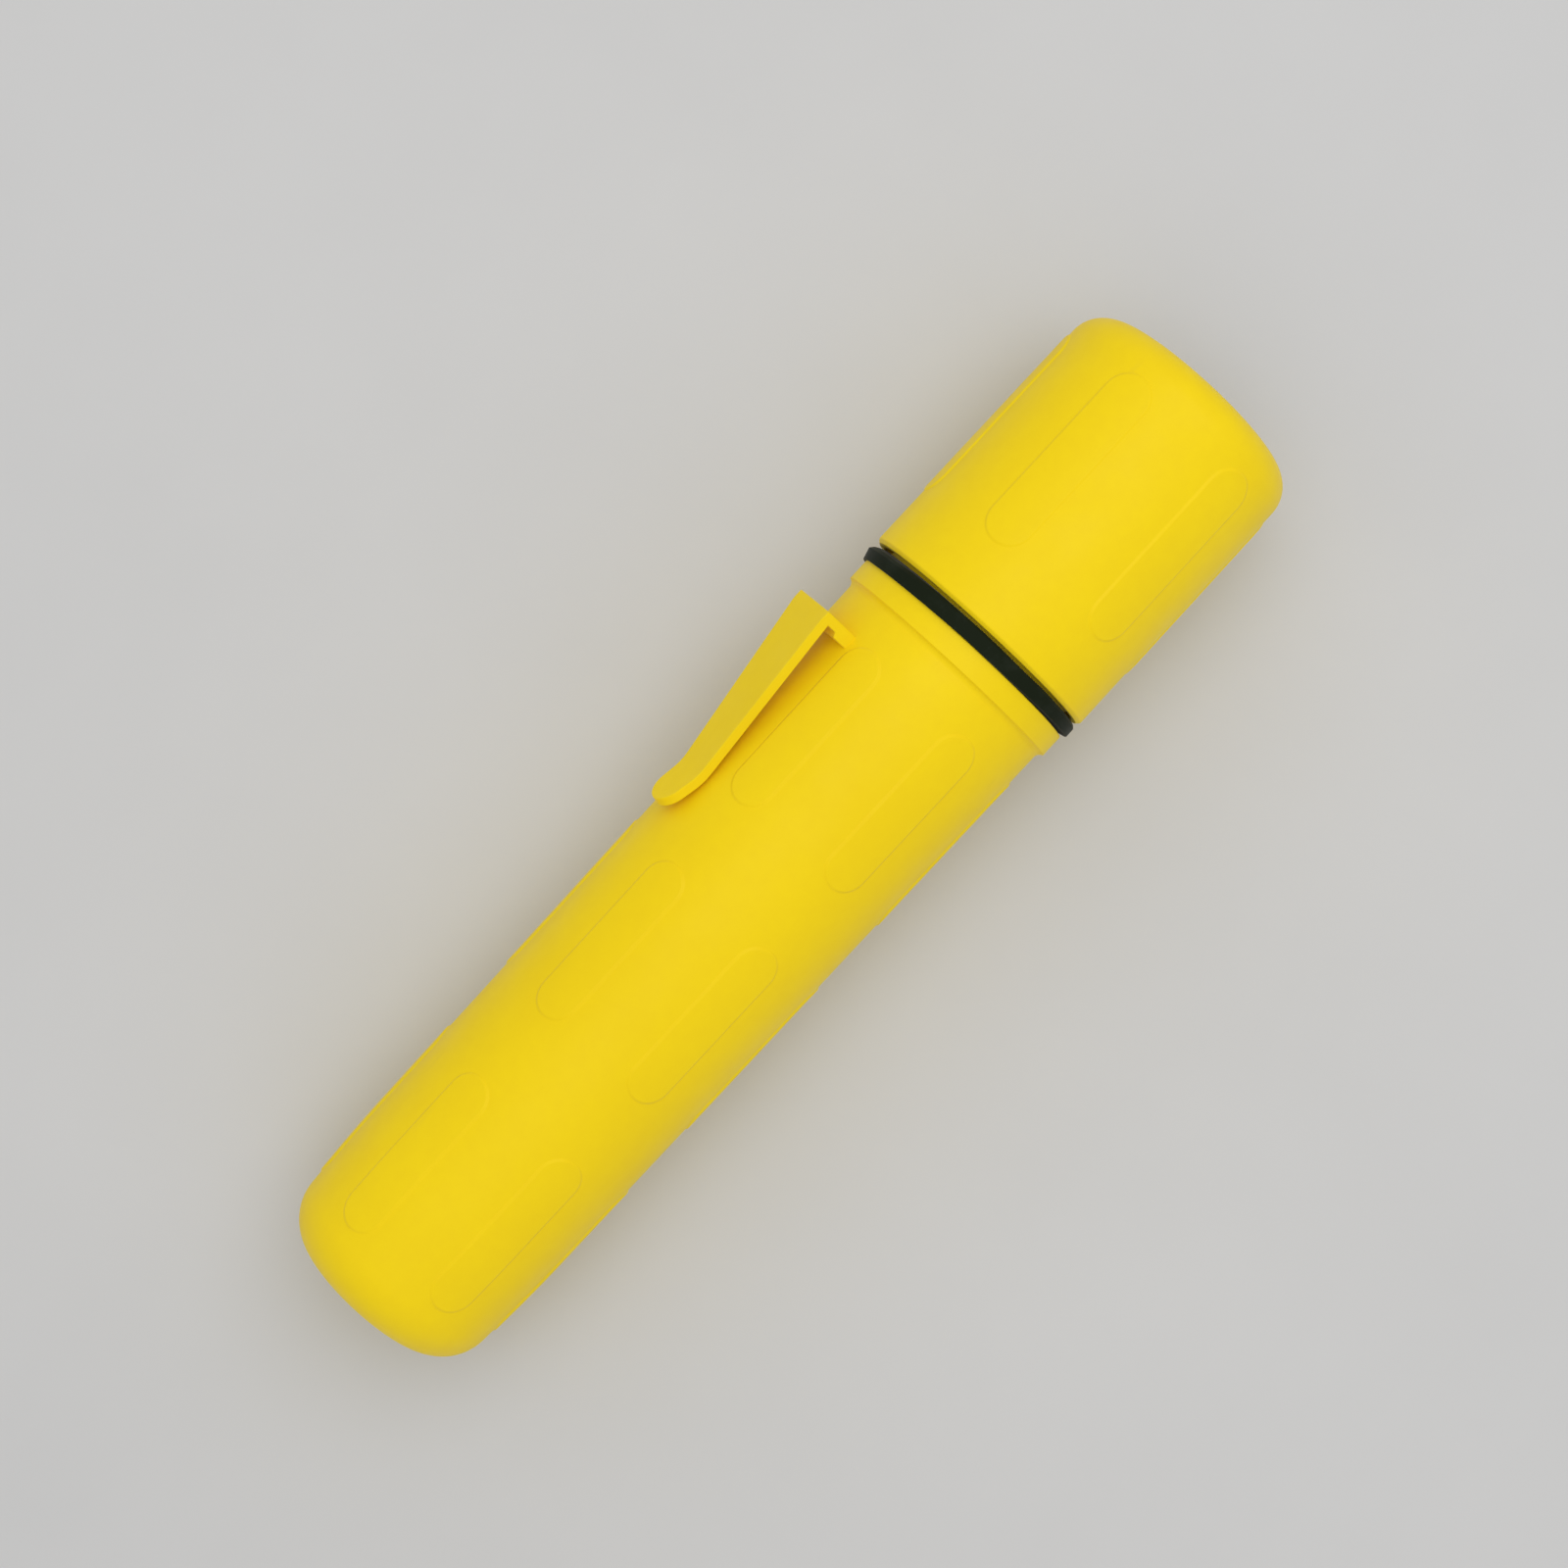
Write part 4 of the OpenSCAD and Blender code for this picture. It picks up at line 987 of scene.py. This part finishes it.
def make_floor():
    """Plain pale floor, a hair under the tail and the rim of the head."""
    slope = (HEAD_R - TUBE_TAIL_R) / (RIM_X + RIM_BEVEL - CROWN_X)
    height = slope * CROWN_X - TUBE_TAIL_R - FLOOR_GAP
    ticks = (-FLOOR_HALF, 0, FLOOR_HALF)
    points = [(x * MM, y * MM, (height - slope * x) * MM) for x in ticks for y in ticks]
    mesh = bpy.data.meshes.new("floor")
    mesh.from_pydata(points, [], [(i, i + 3, i + 4, i + 1) for i in (0, 1, 3, 4)])
    made, tree, shader = material_of("floor_pale", (0.64, 0.638, 0.634), 0.7, Specular_IOR_Level=0.1)
    cloud = level(tree, noise(tree, 9, 5, roughness=0.6), 0.35, 0.7)
    surface(tree, shader, mixed(tree, cloud, (0.65, 0.648, 0.645), (0.625, 0.623, 0.62)))
    mesh.materials.append(made)
    placed("floor", mesh)


def make_world():
    """An even pale dome; a camera, a gloss or a clear piece sees the floor's own grey instead."""
    strength, horizon, sky = 0.67, (0.41, 0.41, 0.41), (0.60, 0.60, 0.60)
    world = bpy.data.worlds.new("studio")
    bpy.context.scene.world = world
    world.use_nodes = True
    tree = world.node_tree
    lit = tree.nodes["Background"]
    lit.inputs["Color"].default_value = (1, 1, 1, 1)
    lit.inputs["Strength"].default_value = strength
    way = add_node(tree, "ShaderNodeTexCoord").outputs["Generated"]
    height = add_node(tree, "ShaderNodeSeparateXYZ", [(0, way)]).outputs["Z"]
    grey = mixed(tree, level(tree, height, 0.0, 0.3), horizon, sky)
    seen = add_node(tree, "ShaderNodeBackground", [("Color", grey), ("Strength", 1.0)])
    path = add_node(tree, "ShaderNodeLightPath").outputs
    ray = combined(tree, "MAXIMUM", path["Is Camera Ray"], path["Is Glossy Ray"])
    ray = combined(tree, "MAXIMUM", ray, path["Is Transmission Ray"])
    both = add_node(tree, "ShaderNodeMixShader", [(0, ray), (1, lit.outputs[0]), (2, seen.outputs[0])])
    tree.links.new(both.outputs[0], tree.nodes["World Output"].inputs["Surface"])


def make_lamp():
    """One large soft lamp overhead."""
    spot, aim = Vector((0.24, 0.01, 0.57)), Vector((0.16, 0, 0))
    lamp = bpy.data.lights.new("soft_lamp", "AREA")
    lamp.shape = "DISK"
    lamp.size = 0.6
    lamp.energy = 1.21
    holder = placed("soft_lamp", lamp)
    holder.location = spot
    holder.rotation_euler = (aim - spot).to_track_quat("-Z", "Y").to_euler()
    holder.visible_camera = False


def make_camera():
    """Camera over the light at the photograph's viewing angle: the light lies aslant in the picture."""
    middle_x, aside, distance = 108.27, 6.5, 480
    tilt, drift, roll = math.radians(1.0), math.radians(0.38), math.radians(42.33)
    data = bpy.data.cameras.new("camera")
    data.lens = 67.5
    data.sensor_width = 36
    data.clip_start = 0.01
    data.clip_end = 20
    # The light's long axis, slightly tilted and turned, and the way to the camera
    along = Vector((math.cos(tilt) * math.cos(drift), -math.cos(tilt) * math.sin(drift), math.sin(tilt)))
    up = (Vector((0, 0, 1)) - along.z * along).normalized()
    view = Matrix((along, up.cross(along), up))
    right = view @ Vector((math.sin(roll), -math.cos(roll), 0))
    top = view @ Vector((math.cos(roll), math.sin(roll), 0))
    spot = Vector((middle_x * MM, 0, 0)) + view @ Vector((0, aside * MM, distance * MM))
    turn = Matrix((right, top, right.cross(top))).transposed()
    camera = placed("camera", data)
    camera.matrix_world = Matrix.Translation(spot) @ turn.to_4x4()
    bpy.context.scene.camera = camera


# ---------------- putting it together

bpy.context.scene.view_settings.view_transform = "Standard"
make_camera()
make_floor()
make_world()
make_lamp()

YELLOW = yellow_plastic()
RUBBER = rubber()
BRASS = metal("brass", (0.72, 0.53, 0.22), 0.34)
STEEL = metal("spring_steel", (0.55, 0.56, 0.57), 0.3)
CAN = metal("cell_can", (0.62, 0.63, 0.64), 0.25, brushed=(0.1, 1, 1), scale=500)
BRIGHT = metal("reflector_metal", (0.90, 0.905, 0.91), 0.10, scale=120, wear=(0.98, 0.98, 0.98))
BLACK = plain_plastic("black_plastic", (0.016, 0.016, 0.018), (0.022, 0.022, 0.024), 0.5)
WHITE = plain_plastic("slip_plastic", (0.72, 0.71, 0.68), (0.68, 0.67, 0.64), 0.45)
CLEAR = clear("lens_clear", (0.98, 0.985, 0.98), 1.49, 0.01)
GLASS = clear("bulb_clear", (0.97, 0.98, 0.985), 1.47, 0.0)
JACKET = jacket_film()

body_shell(YELLOW)
clip_root(YELLOW)
belt_clip(YELLOW)
gasket(RUBBER)
head_shell(YELLOW)
lens_pieces(CLEAR, RUBBER)
reflector(BRIGHT)
bulb_base(BRASS)
bulb_glass(GLASS)
bulb_inside(STEEL, WHITE)
springs(STEEL)
tune_cad_nodes({"ground_strip": BRASS, "rear_cell": CAN, "front_cell": CAN,
                "rear_cell_jacket": JACKET, "front_cell_jacket": JACKET, "slip_ring": WHITE,
                "retaining_ring": STEEL, "lamp_carrier": BLACK, "bulb_holder": BLACK,
                "ground_ring": BRASS, "contact_plunger": BRASS})
